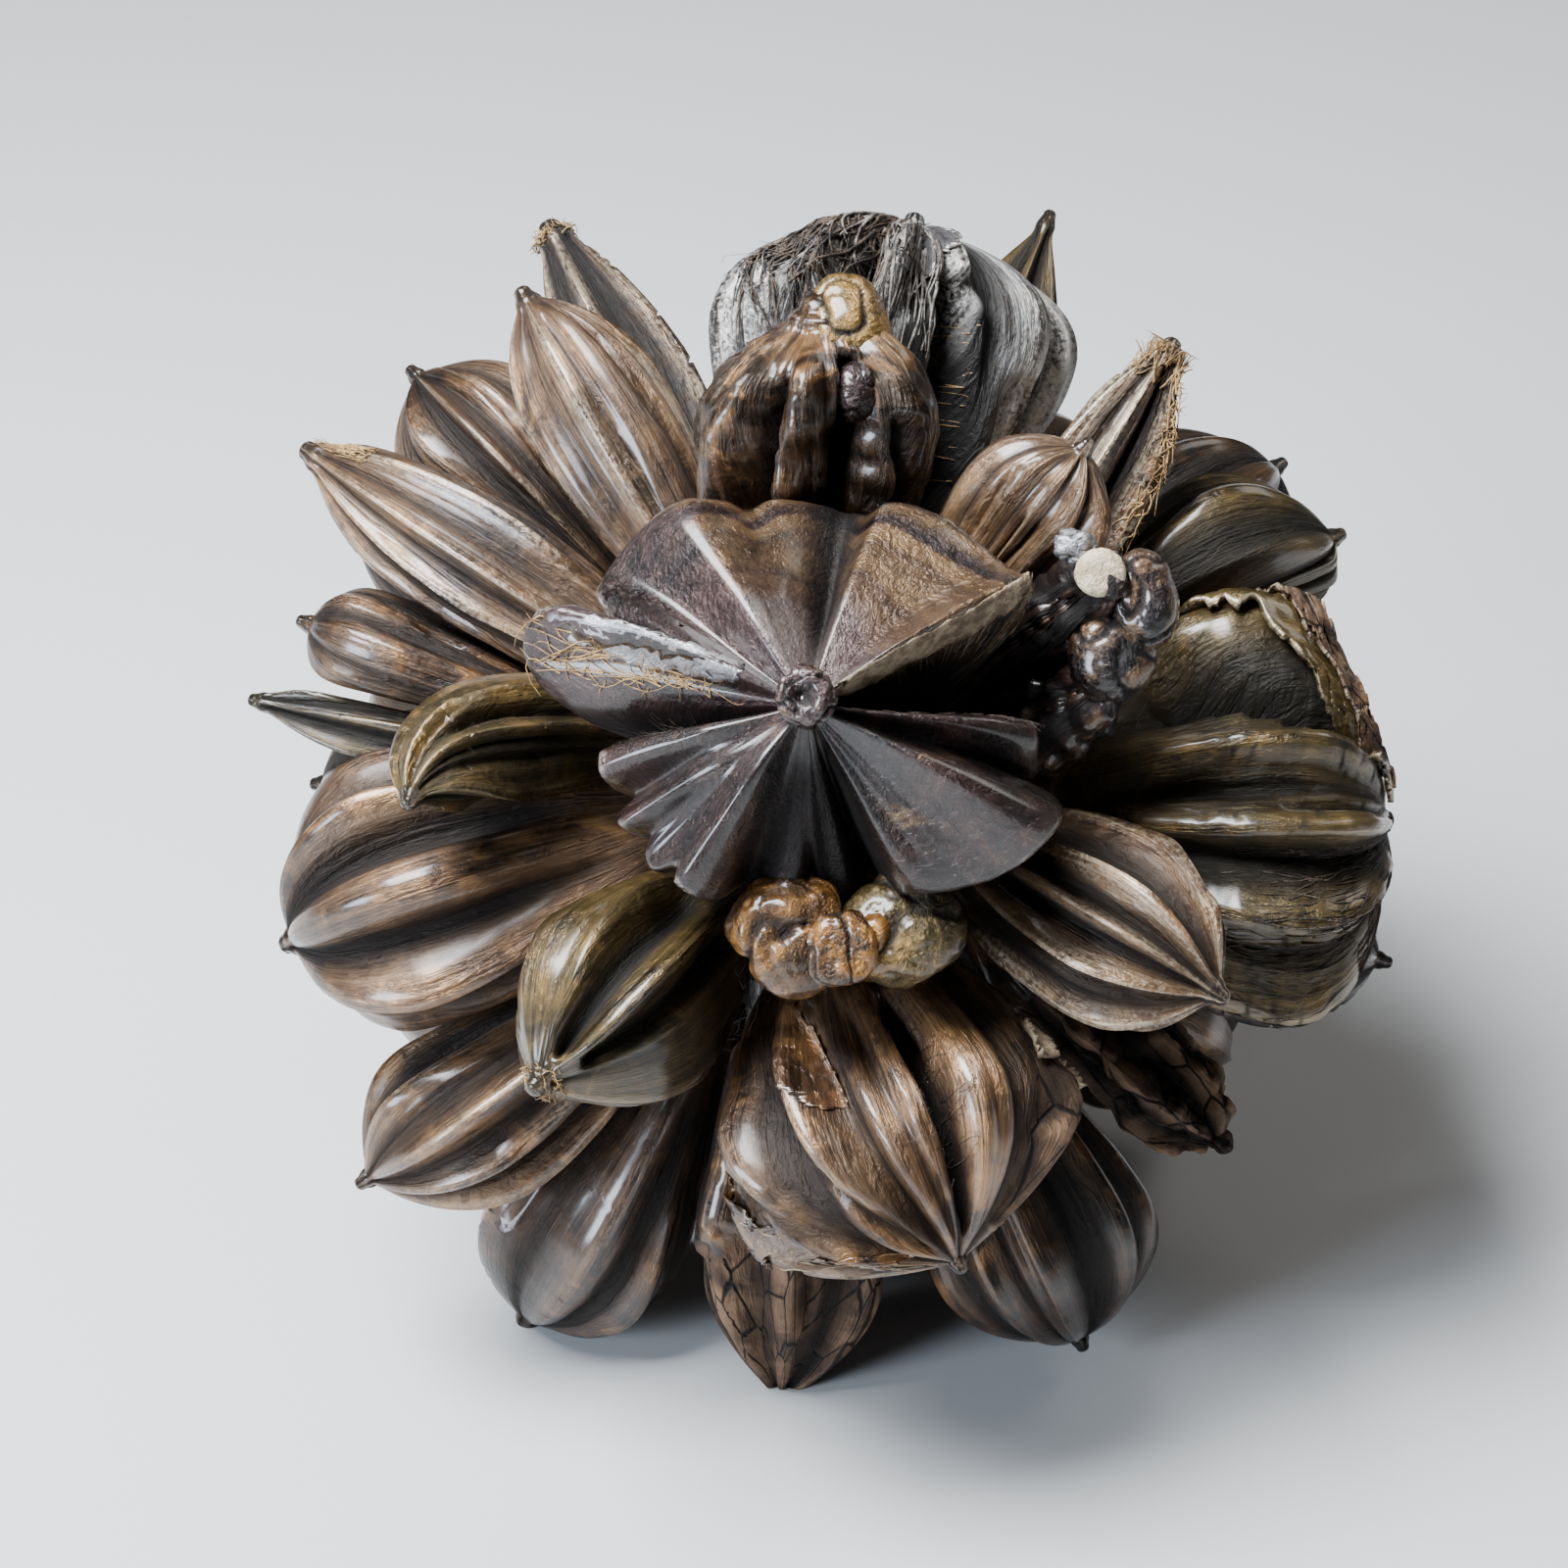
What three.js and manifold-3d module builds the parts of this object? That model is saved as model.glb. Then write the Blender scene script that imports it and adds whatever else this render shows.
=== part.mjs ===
// Nipa palm fruit cluster: a dried head of ribbed fruits that grow all round a woody core.
// Millimetres, +Z up. The origin is on the surface that the head rests on, below its middle.
// The head's front pole looks towards -Y and upwards. A place on the head is given from the pole:
// clock is the bearing round the pole in degrees, 0 at the top and clockwise seen from the front,
// turn is the angle away from the pole, and reach is the distance from the head's middle.

import * as THREE from 'three';
import { mergeVertices } from 'three/addons/utils/BufferGeometryUtils.js';
import Module from 'manifold-3d';

const poleLift = 35;
const middleX = -1.5;
const middleY = -1;
const middleHeight = 110;
const headSpan = 300;
const coreRadius = 44;
const coreGap = 0.5;      // between a root and the core
const pressGap = 1.2;     // between two fruits that press on each other
const stalkRadius = 15;
const stalkReach = 84;
const nubRadius = 2.6;    // the dried stub on a fruit's tip
const domeEnd = 0.962;    // how far along the fruit its dome meets the nub
const nubTaper = 0.4;     // how much narrower the nub is at its very end
const leastRadius = 1.6;  // a fruit's axis keeps this far inside its walls
const nearPole = 0.93;    // cosine above which a fruit counts as pointing at the pole
const bodyRows = 12;
const plainRows = 9;
const crestJitter = 0.4;
const heightJitter = 0.14;
const pressRounds = 90;
const reachOfPress = 3;   // neighbours further apart than this do not shape each other
const softness = 6;       // the higher, the sharper the edge of a pressed flat
const spinePlaces = [0, 0.12, 0.28, 0.44, 0.6, 0.76, 0.9, 1];
const spineMiddle = 4;

const looks = {
  darkHusk: { colour: 0x3d2f26, roughness: 0.42 },
  bronzeHusk: { colour: 0x6b4c2c, roughness: 0.38 },
  oliveHusk: { colour: 0x5a4f35, roughness: 0.45 },
  plumHusk: { colour: 0x3a2a28, roughness: 0.4 },
  resinLump: { colour: 0x70481f, roughness: 0.35 },
  coreWood: { colour: 0x1d1611, roughness: 0.9 },
};

// Each fruit: its tip and root as [clock, turn, reach] and [clock, turn], its half width and half
// depth at the widest place, the ribs, how deep the grooves between them are, and its look.
// wide is where along the fruit it is widest, point runs from 0, blunt, to 1, pointed, bow is how
// far the back arches outwards, sway how far it bends sideways, and hold how well it keeps its
// shape where it presses on a neighbour.
const fruits = [
  { name: 'fruit_star', tip: [-8, 11, 118], root: [0, 5], half: [52, 52], look: 'plumHusk',
    wide: 0.66, point: 0.95, nub: 4.5, hold: 5, seed: 1,
    outline: [[-62, 50], [-57, 56], [-48, 60], [-38, 64], [-28, 66], [-20, 63], [-16, 58],
      [-10, 64], [0, 65], [8, 63], [13, 57], [20, 61], [30, 62], [40, 62], [50, 65], [57, 70],
      [61, 58], [66, 34], [78, 30], [84, 44], [88, 53], [94, 55], [99, 52], [101, 42], [104, 63],
      [108, 71], [114, 67], [122, 60], [132, 54], [142, 49], [150, 43], [154, 28], [160, 33],
      [168, 35], [176, 34], [180, 29], [186, 38], [194, 40], [201, 39], [205, 35], [209, 46],
      [215, 49], [220, 47], [223, 42], [228, 46], [233, 45], [237, 41], [242, 46], [247, 45],
      [251, 40], [256, 46], [262, 46], [267, 44], [271, 36], [277, 53], [283, 65], [288, 69],
      [294, 66], [298, 58]] },
  { name: 'fruit_crumpled', tip: [0, 57, 130], root: [2, 36], half: [31, 25], ribs: 7, cut: 0.32,
    look: 'bronzeHusk', wide: 0.6, point: 0.25, bow: 6, nub: 8, hold: 3, seed: 5, roll: 12 },
  { name: 'fruit_scalloped', tip: [36, 52, 124], root: [30, 36], half: [20, 13], ribs: 9, cut: 0.14,
    look: 'bronzeHusk', wide: 0.6, point: 0.1, bow: 6, hold: 2, seed: 6 },
  { name: 'stunted_cut', tip: [50, 40, 124], root: [54, 36], half: [12, 11], ribs: 5, cut: 0.1,
    look: 'plumHusk', wide: 0.5, point: 0.2, nub: 6.5, hold: 2, seed: 13 },
  { name: 'stunted_knob', tip: [66, 38, 112], root: [70, 38], half: [13, 12], ribs: 5, cut: 0.12,
    look: 'plumHusk', wide: 0.6, point: 0.1, nub: 4, hold: 2, seed: 14 },
  { name: 'fruit_bronze', tip: [115, 48, 127], root: [92, 30], half: [26, 17], ribs: 9, cut: 0.26,
    look: 'bronzeHusk', wide: 0.62, point: 0.55, bow: 6, nub: 3.5, hold: 3, seed: 15, fine: 3 },
  { name: 'fruit_lower_front', tip: [163, 53, 129], root: [180, 32], half: [46, 30], ribs: 10,
    cut: 0.24, look: 'bronzeHusk', wide: 0.55, point: 0.5, bow: 10, hold: 3, seed: 16, fine: 3 },
  { name: 'stunted_gold', tip: [172, 16, 104], root: [166, 20], half: [25, 12], ribs: 5, cut: 0.2,
    look: 'resinLump', wide: 0.66, point: 0, nub: 7, hold: 2, seed: 17 },
  { name: 'fruit_keeled', tip: [226, 42, 126], root: [228, 30], half: [26, 24], ribs: 5, cut: 0.3,
    look: 'oliveHusk', wide: 0.55, point: 0.55, bow: 6, nub: 3.5, hold: 3, seed: 18, fine: 3 },
  { name: 'fruit_curved', tip: [271, 44, 126], root: [306, 36], half: [16, 14], ribs: 6, cut: 0.3,
    look: 'oliveHusk', wide: 0.55, point: 0.4, bow: 10, nub: 3, hold: 3, seed: 19, fine: 3, sway: -12 },

  { name: 'fruit_top', tip: [9, 80, 138], root: [4, 52], half: [44, 32], ribs: 11, cut: 0.18,
    look: 'darkHusk', wide: 0.6, point: 0.15, bow: 10, nub: 4, seed: 20, fine: 3 },
  { name: 'fruit_winged', tip: [21, 101, 156], root: [22, 84], half: [20, 11], ribs: 5, cut: 0.4,
    look: 'oliveHusk', wide: 0.5, point: 0.8, bow: 2, seed: 21 },
  { name: 'fruit_frayed', tip: [37, 72, 137], root: [52, 54], half: [16, 15], ribs: 6, cut: 0.28,
    look: 'bronzeHusk', wide: 0.55, point: 0.5, bow: 4, nub: 3.5, hold: 2, seed: 22 },
  { name: 'fruit_shade_right', tip: [53, 100, 140], root: [53, 84], half: [27, 22], ribs: 7,
    cut: 0.2, look: 'darkHusk', wide: 0.6, point: 0.2, bow: 4, seed: 23 },
  { name: 'fruit_dull_right', tip: [62, 82, 136], root: [58, 58], half: [30, 26], ribs: 8,
    cut: 0.2, look: 'oliveHusk', wide: 0.58, point: 0.4, bow: 8, seed: 24 },
  { name: 'fruit_right', tip: [91, 79, 131], root: [95, 46], half: [57, 36], ribs: 10, cut: 0.2,
    look: 'oliveHusk', wide: 0.6, point: 0.4, bow: 12, nub: 3.5, hold: 2, seed: 25, fine: 3 },
  { name: 'fruit_shade_low_right', tip: [105, 97, 140], root: [106, 84], half: [25, 22], ribs: 6,
    cut: 0.22, look: 'darkHusk', wide: 0.6, point: 0.3, bow: 4, seed: 26 },
  { name: 'fruit_jagged', tip: [130, 80, 121], root: [126, 62], half: [22, 16], ribs: 6, cut: 0.3,
    look: 'darkHusk', wide: 0.6, point: 0.1, bow: 4, seed: 27 },
  { name: 'fruit_low_right', tip: [154, 90, 139], root: [148, 62], half: [31, 27], ribs: 9,
    cut: 0.2, look: 'darkHusk', wide: 0.6, point: 0.4, bow: 8, seed: 28 },
  { name: 'fruit_broken', tip: [184, 92, 142], root: [182, 58], half: [37, 27], ribs: 6, cut: 0.18,
    look: 'darkHusk', wide: 0.5, point: 0.7, bow: 6, nub: 4, seed: 29 },
  { name: 'fruit_low_left', tip: [210, 98, 143], root: [210, 64], half: [34, 27], ribs: 6,
    cut: 0.22, look: 'darkHusk', wide: 0.6, point: 0.5, bow: 6, nub: 3.5, seed: 30 },
  { name: 'fruit_lower_left', tip: [231, 80, 137], root: [222, 52], half: [24, 24], ribs: 9,
    cut: 0.28, look: 'bronzeHusk', wide: 0.6, point: 0.5, bow: 7, hold: 2, seed: 31, fine: 3 },
  { name: 'fruit_left', tip: [256, 76, 128], root: [272, 34], half: [39, 31], ribs: 7, cut: 0.32,
    look: 'bronzeHusk', wide: 0.55, point: 0.4, bow: 12, nub: 4, hold: 2, seed: 32, fine: 3 },
  { name: 'fruit_small_left', tip: [281, 86, 134], root: [281, 60], half: [13, 10], ribs: 6,
    cut: 0.3, look: 'oliveHusk', wide: 0.55, point: 0.55, bow: 3, seed: 33 },
  { name: 'fruit_banded', tip: [290, 84, 128], root: [290, 62], half: [18, 16], ribs: 6, cut: 0.18,
    look: 'darkHusk', wide: 0.65, point: 0, bow: 4, seed: 34 },
  { name: 'fruit_shade_left', tip: [273, 99, 122], root: [273, 84], half: [23, 20], ribs: 6,
    cut: 0.2, look: 'darkHusk', wide: 0.6, point: 0.2, bow: 3, seed: 35 },
  { name: 'fruit_long', tip: [305, 86, 145], root: [312, 46], half: [21, 17], ribs: 9, cut: 0.26,
    look: 'bronzeHusk', wide: 0.5, point: 0.5, bow: 6, nub: 4, hold: 2, seed: 36, fine: 3 },
  { name: 'fruit_sliver', tip: [300, 99, 130], root: [300, 84], half: [15, 13], ribs: 6, cut: 0.22,
    look: 'darkHusk', wide: 0.55, point: 0.5, bow: 3, seed: 37 },
  { name: 'fruit_upper_left', tip: [317, 92, 141], root: [320, 62], half: [28, 22], ribs: 9,
    cut: 0.24, look: 'bronzeHusk', wide: 0.55, point: 0.35, bow: 6, seed: 38 },
  { name: 'fruit_boat', tip: [330, 80, 138], root: [332, 44], half: [19, 17], ribs: 5, cut: 0.22,
    look: 'bronzeHusk', wide: 0.55, point: 0.3, bow: 6, nub: 3.5, hold: 3, seed: 39, fine: 3 },
  { name: 'fruit_truncated', tip: [335, 99, 155], root: [340, 78], half: [17, 14], ribs: 6,
    cut: 0.28, look: 'darkHusk', wide: 0.5, point: 0.4, bow: 3, nub: 5, seed: 40 },

  { name: 'fruit_back_a', tip: [0, 118, 134], root: [0, 110], half: [35, 31], ribs: 7, cut: 0.24,
    look: 'bronzeHusk', wide: 0.6, point: 0.3, bow: 4, plain: true, seed: 41 },
  { name: 'fruit_back_b', tip: [40, 122, 136], root: [40, 112], half: [34, 31], ribs: 7, cut: 0.24,
    look: 'darkHusk', wide: 0.6, point: 0.35, bow: 4, plain: true, seed: 42 },
  { name: 'fruit_back_c', tip: [82, 118, 132], root: [82, 110], half: [38, 33], ribs: 8, cut: 0.24,
    look: 'oliveHusk', wide: 0.58, point: 0.25, bow: 4, plain: true, seed: 43 },
  { name: 'fruit_back_d', tip: [122, 120, 133], root: [122, 110], half: [34, 30], ribs: 7,
    cut: 0.24, look: 'bronzeHusk', wide: 0.6, point: 0.35, bow: 4, plain: true, seed: 44 },
  { name: 'fruit_under_right', tip: [148, 132, 127], root: [148, 116], half: [29, 26], ribs: 7,
    cut: 0.24, look: 'darkHusk', wide: 0.6, point: 0.2, bow: 3, plain: true, seed: 45 },
  { name: 'fruit_under', tip: [184, 116, 117], root: [184, 104], half: [29, 25], ribs: 7, cut: 0.24,
    look: 'bronzeHusk', wide: 0.6, point: 0.2, bow: 3, plain: true, seed: 46 },
  { name: 'fruit_under_left', tip: [216, 133, 130], root: [216, 116], half: [30, 27], ribs: 8,
    cut: 0.24, look: 'oliveHusk', wide: 0.6, point: 0.2, bow: 3, plain: true, seed: 47 },
  { name: 'fruit_back_e', tip: [250, 118, 133], root: [250, 110], half: [34, 31], ribs: 7,
    cut: 0.24, look: 'darkHusk', wide: 0.6, point: 0.3, bow: 4, plain: true, seed: 48 },
  { name: 'fruit_back_f', tip: [290, 122, 136], root: [290, 112], half: [35, 31], ribs: 8,
    cut: 0.24, look: 'bronzeHusk', wide: 0.58, point: 0.35, bow: 4, plain: true, seed: 49 },
  { name: 'fruit_back_g', tip: [327, 124, 134], root: [327, 112], half: [33, 30], ribs: 7,
    cut: 0.24, look: 'darkHusk', wide: 0.6, point: 0.3, bow: 4, plain: true, seed: 50 },
  { name: 'fruit_stem_a', tip: [15, 148, 127], root: [15, 140], half: [36, 33], ribs: 8, cut: 0.24,
    look: 'oliveHusk', wide: 0.6, point: 0.3, bow: 3, plain: true, seed: 51 },
  { name: 'fruit_stem_b', tip: [98, 149, 130], root: [98, 140], half: [35, 32], ribs: 7,
    cut: 0.24, look: 'darkHusk', wide: 0.6, point: 0.3, bow: 3, plain: true, seed: 52 },
  { name: 'fruit_stem_c', tip: [182, 152, 127], root: [182, 142], half: [34, 31], ribs: 7,
    cut: 0.24, look: 'bronzeHusk', wide: 0.6, point: 0.25, bow: 3, plain: true, seed: 53 },
  { name: 'fruit_stem_d', tip: [270, 150, 131], root: [270, 140], half: [35, 32], ribs: 8,
    cut: 0.24, look: 'darkHusk', wide: 0.6, point: 0.3, bow: 3, plain: true, seed: 54 },
];

const radians = THREE.MathUtils.degToRad;
const blend = THREE.MathUtils.lerp;
const clamp = THREE.MathUtils.clamp;
const toRight = new THREE.Vector3(1, 0, 0);
const toPole = new THREE.Vector3(0, -Math.cos(radians(poleLift)), Math.sin(radians(poleLift)));
const toTop = new THREE.Vector3(0, Math.sin(radians(poleLift)), Math.cos(radians(poleLift)));
const middle = new THREE.Vector3(middleX, middleY, middleHeight);

// A repeatable draw from 0 to 1 for a fruit's seed and a count.
function draw(seed, count) {
  const spread = Math.sin(seed * 12.9898 + count * 78.233) * 43758.5453;
  return spread - Math.floor(spread);
}

function bearing(clock, turn) {
  const side = Math.sin(radians(turn));
  return new THREE.Vector3()
    .addScaledVector(toRight, side * Math.sin(radians(clock)))
    .addScaledVector(toTop, side * Math.cos(radians(clock)))
    .addScaledVector(toPole, Math.cos(radians(turn)));
}

// The fruit's axis is one bent curve from its root on the core to its tip.
function axisOf(fruit) {
  const rootWay = bearing(fruit.root[0], fruit.root[1]);
  const root = middle.clone().addScaledVector(rootWay, coreRadius + coreGap);
  const tip = middle.clone().addScaledVector(bearing(fruit.tip[0], fruit.tip[1]), fruit.tip[2]);
  const half = root.clone().lerp(tip, 0.5);
  const outward = half.clone().sub(middle).normalize();
  const sideways = new THREE.Vector3().crossVectors(outward, tip.clone().sub(root)).normalize();
  half.addScaledVector(outward, 2 * (fruit.bow ?? 0));
  half.addScaledVector(sideways, 2 * (fruit.sway ?? 0));
  return { rootWay, curve: new THREE.QuadraticBezierCurve3(root, half, tip) };
}

// The section's first direction faces the pole, or the top where the fruit itself points there.
function sectionFrame(fruit, curve, along) {
  const tangent = curve.getTangent(clamp(along, 0.001, 0.999)).normalize();
  const facing = Math.abs(tangent.dot(toPole)) > nearPole ? toTop : toPole;
  const first = facing.clone().addScaledVector(tangent, -facing.dot(tangent)).normalize();
  const second = new THREE.Vector3().crossVectors(first, tangent);
  return { first, second };
}

// The share of the full width along the fruit: a wedge-shaped root, then the dome to the tip.
function widthAlong(fruit, along) {
  const wide = fruit.wide;
  if (along < wide) {
    return Math.sin((Math.PI / 2) * (along / wide)) ** 0.8;
  }
  const rest = Math.min(1, (along - wide) / (domeEnd - wide));
  return (1 - rest ** (2.4 - 1.3 * fruit.point)) ** (0.55 + 0.4 * fruit.point);
}

// Crests: the ribs' bearings round the axis, their heights and the groove after each of them.
function crestsOf(fruit) {
  if (fruit.outline) {
    return fruit.outline.map(([angle, radius]) => ({
      angle: radians(angle), height: radius / fruit.half[0], cut: 0 }));
  }
  return Array.from({ length: fruit.ribs }, (unused, count) => ({
    angle: radians((360 * (count + crestJitter * (draw(fruit.seed, count) - 0.5))) / fruit.ribs
      + (fruit.roll ?? 0)),
    height: 1 + heightJitter * (draw(fruit.seed, count + 20) - 0.5),
    cut: fruit.cut * (0.7 + 0.6 * draw(fruit.seed, count + 40)),
  }));
}

// Radius and bearing of the skin: step counts the ribs round the axis, with whole numbers on the
// crests and a rounded groove between them.
function skinAt(fruit, crests, along, step) {
  const count = Math.floor(step + 1e-6);
  const part = Math.max(0, step - count);
  const here = crests[count % crests.length];
  const next = crests[(count + 1) % crests.length];
  const nextAngle = next.angle + (count + 1 >= crests.length ? 2 * Math.PI : 0);
  const angle = blend(here.angle, nextAngle, part);
  const oval = 1 / Math.hypot(Math.cos(angle) / fruit.half[1], Math.sin(angle) / fruit.half[0]);
  const rooted = THREE.MathUtils.smoothstep(along, 0.02, 0.4);
  const groove = here.cut * Math.sin(Math.PI * part) * rooted;
  const height = blend(blend(here.height, next.height, part), 1, (1 - rooted) * 0.8);
  const body = oval * height * widthAlong(fruit, along) * (1 - groove);
  const taper = 1 - nubTaper * THREE.MathUtils.smoothstep(along, domeEnd, 1);
  const nub = (fruit.nub ?? nubRadius) * taper * Math.min(1, along * 4);
  return { angle, radius: Math.hypot(body, nub) };
}

// A fruit before its neighbours press on it, with the points of its crests.
function looseFruit(fruit) {
  const { rootWay, curve } = axisOf(fruit);
  const crests = crestsOf(fruit);
  const corners = [];
  const spine = [];
  for (const along of spinePlaces) {
    const centre = curve.getPoint(along);
    const { first, second } = sectionFrame(fruit, curve, along);
    spine.push(centre);
    crests.forEach((crest, count) => {
      const { angle, radius } = skinAt(fruit, crests, along, count);
      corners.push(centre.clone()
        .addScaledVector(first, radius * Math.cos(angle))
        .addScaledVector(second, radius * Math.sin(angle)));
    });
  }
  return { fruit, rootWay, curve, crests, corners, spine, hold: fruit.hold ?? 1, walls: [] };
}

function farthest(points, way, sign) {
  let best = points[0];
  let most = -Infinity;
  for (const point of points) {
    const reach = sign * point.dot(way);
    if (reach > most) {
      most = reach;
      best = point;
    }
  }
  return best;
}

// The flat on which two neighbours press: the plane between them that cuts least from either.
function pressPlane(one, two) {
  const way = two.spine[spineMiddle].clone().sub(one.spine[spineMiddle]).normalize();
  let best = null;
  for (let round = 0; round < pressRounds; round += 1) {
    const fromOne = farthest(one.corners, way, 1);
    const fromTwo = farthest(two.corners, way, -1);
    const clear = fromTwo.dot(way) - fromOne.dot(way);
    if (!best || clear > best.clear) {
      best = { clear, way: way.clone(), low: fromOne.dot(way), high: fromTwo.dot(way) };
    }
    const pull = fromTwo.clone().sub(fromOne);
    const size = pull.length();
    if (size < 1e-6) {
      break;
    }
    way.addScaledVector(pull, 0.3 / (size * (1 + 0.15 * round))).normalize();
  }
  const share = two.hold / (one.hold + two.hold);
  let level = blend(best.low, best.high, share);
  const oneSpine = farthest(one.spine, best.way, 1).dot(best.way) + leastRadius;
  const twoSpine = farthest(two.spine, best.way, -1).dot(best.way) - leastRadius;
  level = oneSpine < twoSpine ? clamp(level, oneSpine, twoSpine) : (oneSpine + twoSpine) / 2;
  return { clear: best.clear, way: best.way, level };
}

// Walls of a fruit: it stays where the wall's way times the point is no more than its level.
function pressTogether(bodies) {
  bodies.forEach((one, count) => {
    bodies.slice(count + 1).forEach((two) => {
      const { clear, way, level } = pressPlane(one, two);
      if (clear > reachOfPress) {
        return;
      }
      one.walls.push({ way, level: level - pressGap / 2 });
      two.walls.push({ way: way.clone().negate(), level: -level - pressGap / 2 });
    });
  });
}

function pushedInside(point, walls) {
  for (let round = 0; round < 30; round += 1) {
    for (const { way, level } of walls) {
      const over = point.dot(way) - (level - leastRadius);
      if (over > 0) {
        point.addScaledVector(way, -over);
      }
    }
  }
  return point;
}

// How far the skin may go from the axis: it flattens softly against the neighbours' walls.
function pressedRadius(centre, way, radius, walls) {
  let soft = radius ** -softness;
  for (const wall of walls) {
    const lean = wall.way.dot(way);
    if (lean > 1e-4) {
      const room = Math.max(1e-3, wall.level - wall.way.dot(centre)) / lean;
      soft += room ** -softness;
    }
  }
  return soft ** (-1 / softness);
}

const wasm = await Module();
wasm.setup();

function solidOf(geometry) {
  const bare = geometry.clone();
  bare.deleteAttribute('normal');
  bare.deleteAttribute('uv');
  const merged = mergeVertices(bare, 1e-4);
  return new wasm.Manifold(new wasm.Mesh({
    numProp: 3,
    vertProperties: new Float32Array(merged.getAttribute('position').array),
    triVerts: new Uint32Array(merged.index.array),
  }));
}

function geometryOf(solid) {
  const mesh = solid.getMesh();
  const geometry = new THREE.BufferGeometry();
  geometry.setAttribute('position', new THREE.BufferAttribute(mesh.vertProperties, 3));
  geometry.setIndex(new THREE.BufferAttribute(mesh.triVerts, 1));
  geometry.computeVertexNormals();
  return geometry;
}

// The lowest fruits are worn flat where the head stands.
const underSurface = new THREE.BoxGeometry(2 * headSpan, 2 * headSpan, headSpan);
underSurface.translate(0, 0, -headSpan / 2);

function wornFlat(geometry) {
  geometry.computeBoundingBox();
  if (geometry.boundingBox.min.z >= 0) {
    return geometry;
  }
  return geometryOf(solidOf(geometry).subtract(solidOf(underSurface)));
}

function fruitGeometry(body) {
  const { fruit, curve, crests, walls, rootWay } = body;
  const perRib = fruit.outline ? 1 : (fruit.fine ?? 2);
  const rows = fruit.plain ? plainRows : bodyRows;
  const core = { way: rootWay.clone().negate(), level: -middle.dot(rootWay) - coreRadius - coreGap };
  const bounds = [...walls, core];
  const sphere = new THREE.SphereGeometry(1, crests.length * perRib, rows);
  sphere.deleteAttribute('normal');
  sphere.deleteAttribute('uv');
  const geometry = mergeVertices(sphere, 1e-5);
  const places = geometry.getAttribute('position');
  for (let index = 0; index < places.count; index += 1) {
    const height = clamp(places.getY(index), -1, 1);
    const row = Math.round((Math.acos(height) / Math.PI) * rows);
    const along = row === 0 ? 1 : 1 - ((row - 1) / (rows - 1)) ** 1.2;
    const centre = curve.getPoint(along);
    if (row < rows) {
      pushedInside(centre, bounds);
    }
    if (row > 0 && row < rows) {
      const round = Math.atan2(places.getZ(index), -places.getX(index)) / (2 * Math.PI);
      const step = Math.round((1 - round) * crests.length * perRib) % (crests.length * perRib);
      const { angle, radius } = skinAt(fruit, crests, along, step / perRib);
      const { first, second } = sectionFrame(fruit, curve, along);
      const way = first.clone().multiplyScalar(Math.cos(angle))
        .addScaledVector(second, Math.sin(angle));
      centre.addScaledVector(way, pressedRadius(centre, way, radius, bounds));
    }
    places.setXYZ(index, centre.x, centre.y, centre.z);
  }
  geometry.computeVertexNormals();
  return wornFlat(geometry);
}

// The stalk's stub leaves the core opposite the pole.
const stalkWay = toPole.clone().negate();

function stalkBody() {
  const corners = [];
  const spine = [];
  for (const along of [0.1, 0.3, 0.5, 0.75, 1]) {
    const centre = middle.clone().addScaledVector(stalkWay, blend(coreRadius, stalkReach, along));
    spine.push(centre);
    for (let corner = 0; corner < 8; corner += 1) {
      const angle = (corner * Math.PI) / 4;
      corners.push(centre.clone()
        .addScaledVector(toRight, stalkRadius * Math.cos(angle))
        .addScaledVector(toTop, stalkRadius * Math.sin(angle)));
    }
  }
  return { corners, spine, hold: 1000, walls: [] };
}

// The core is a knobbly ball, fused with the stub of the stalk.
function coreGeometry() {
  const ball = new THREE.SphereGeometry(coreRadius, 20, 14);
  const places = ball.getAttribute('position');
  for (let index = 0; index < places.count; index += 1) {
    const point = new THREE.Vector3().fromBufferAttribute(places, index);
    const knobs = Math.sin(point.x * 0.4) * Math.sin(point.y * 0.4 + 1) * Math.sin(point.z * 0.4);
    point.multiplyScalar(1 - 0.05 * Math.abs(knobs));
    places.setXYZ(index, point.x, point.y, point.z);
  }
  const outline = [[0, 10], [stalkRadius * 0.9, 10], [stalkRadius * 0.8, coreRadius + 8],
    [stalkRadius * 0.95, stalkReach - 4], [stalkRadius * 0.85, stalkReach], [0, stalkReach]];
  const stalk = new THREE.LatheGeometry(outline.map(([x, y]) => new THREE.Vector2(x, y)), 14);
  const turned = new THREE.Quaternion().setFromUnitVectors(new THREE.Vector3(0, 1, 0), stalkWay);
  stalk.applyQuaternion(turned);
  const core = geometryOf(solidOf(ball).add(solidOf(stalk)));
  core.translate(middle.x, middle.y, middle.z);
  return core;
}

function meshOf(name, geometry, look) {
  const { colour, roughness } = looks[look];
  const material = new THREE.MeshStandardMaterial({ color: colour, roughness, metalness: 0 });
  const mesh = new THREE.Mesh(geometry, material);
  mesh.name = name;
  return mesh;
}

const bodies = fruits.map(looseFruit);
pressTogether([...bodies, stalkBody()]);

const head = new THREE.Group();
head.add(meshOf('woody_core', coreGeometry(), 'coreWood'));
bodies.forEach((body) => {
  head.add(meshOf(body.fruit.name, fruitGeometry(body), body.fruit.look));
});

export default head;
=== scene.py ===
import math

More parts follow.
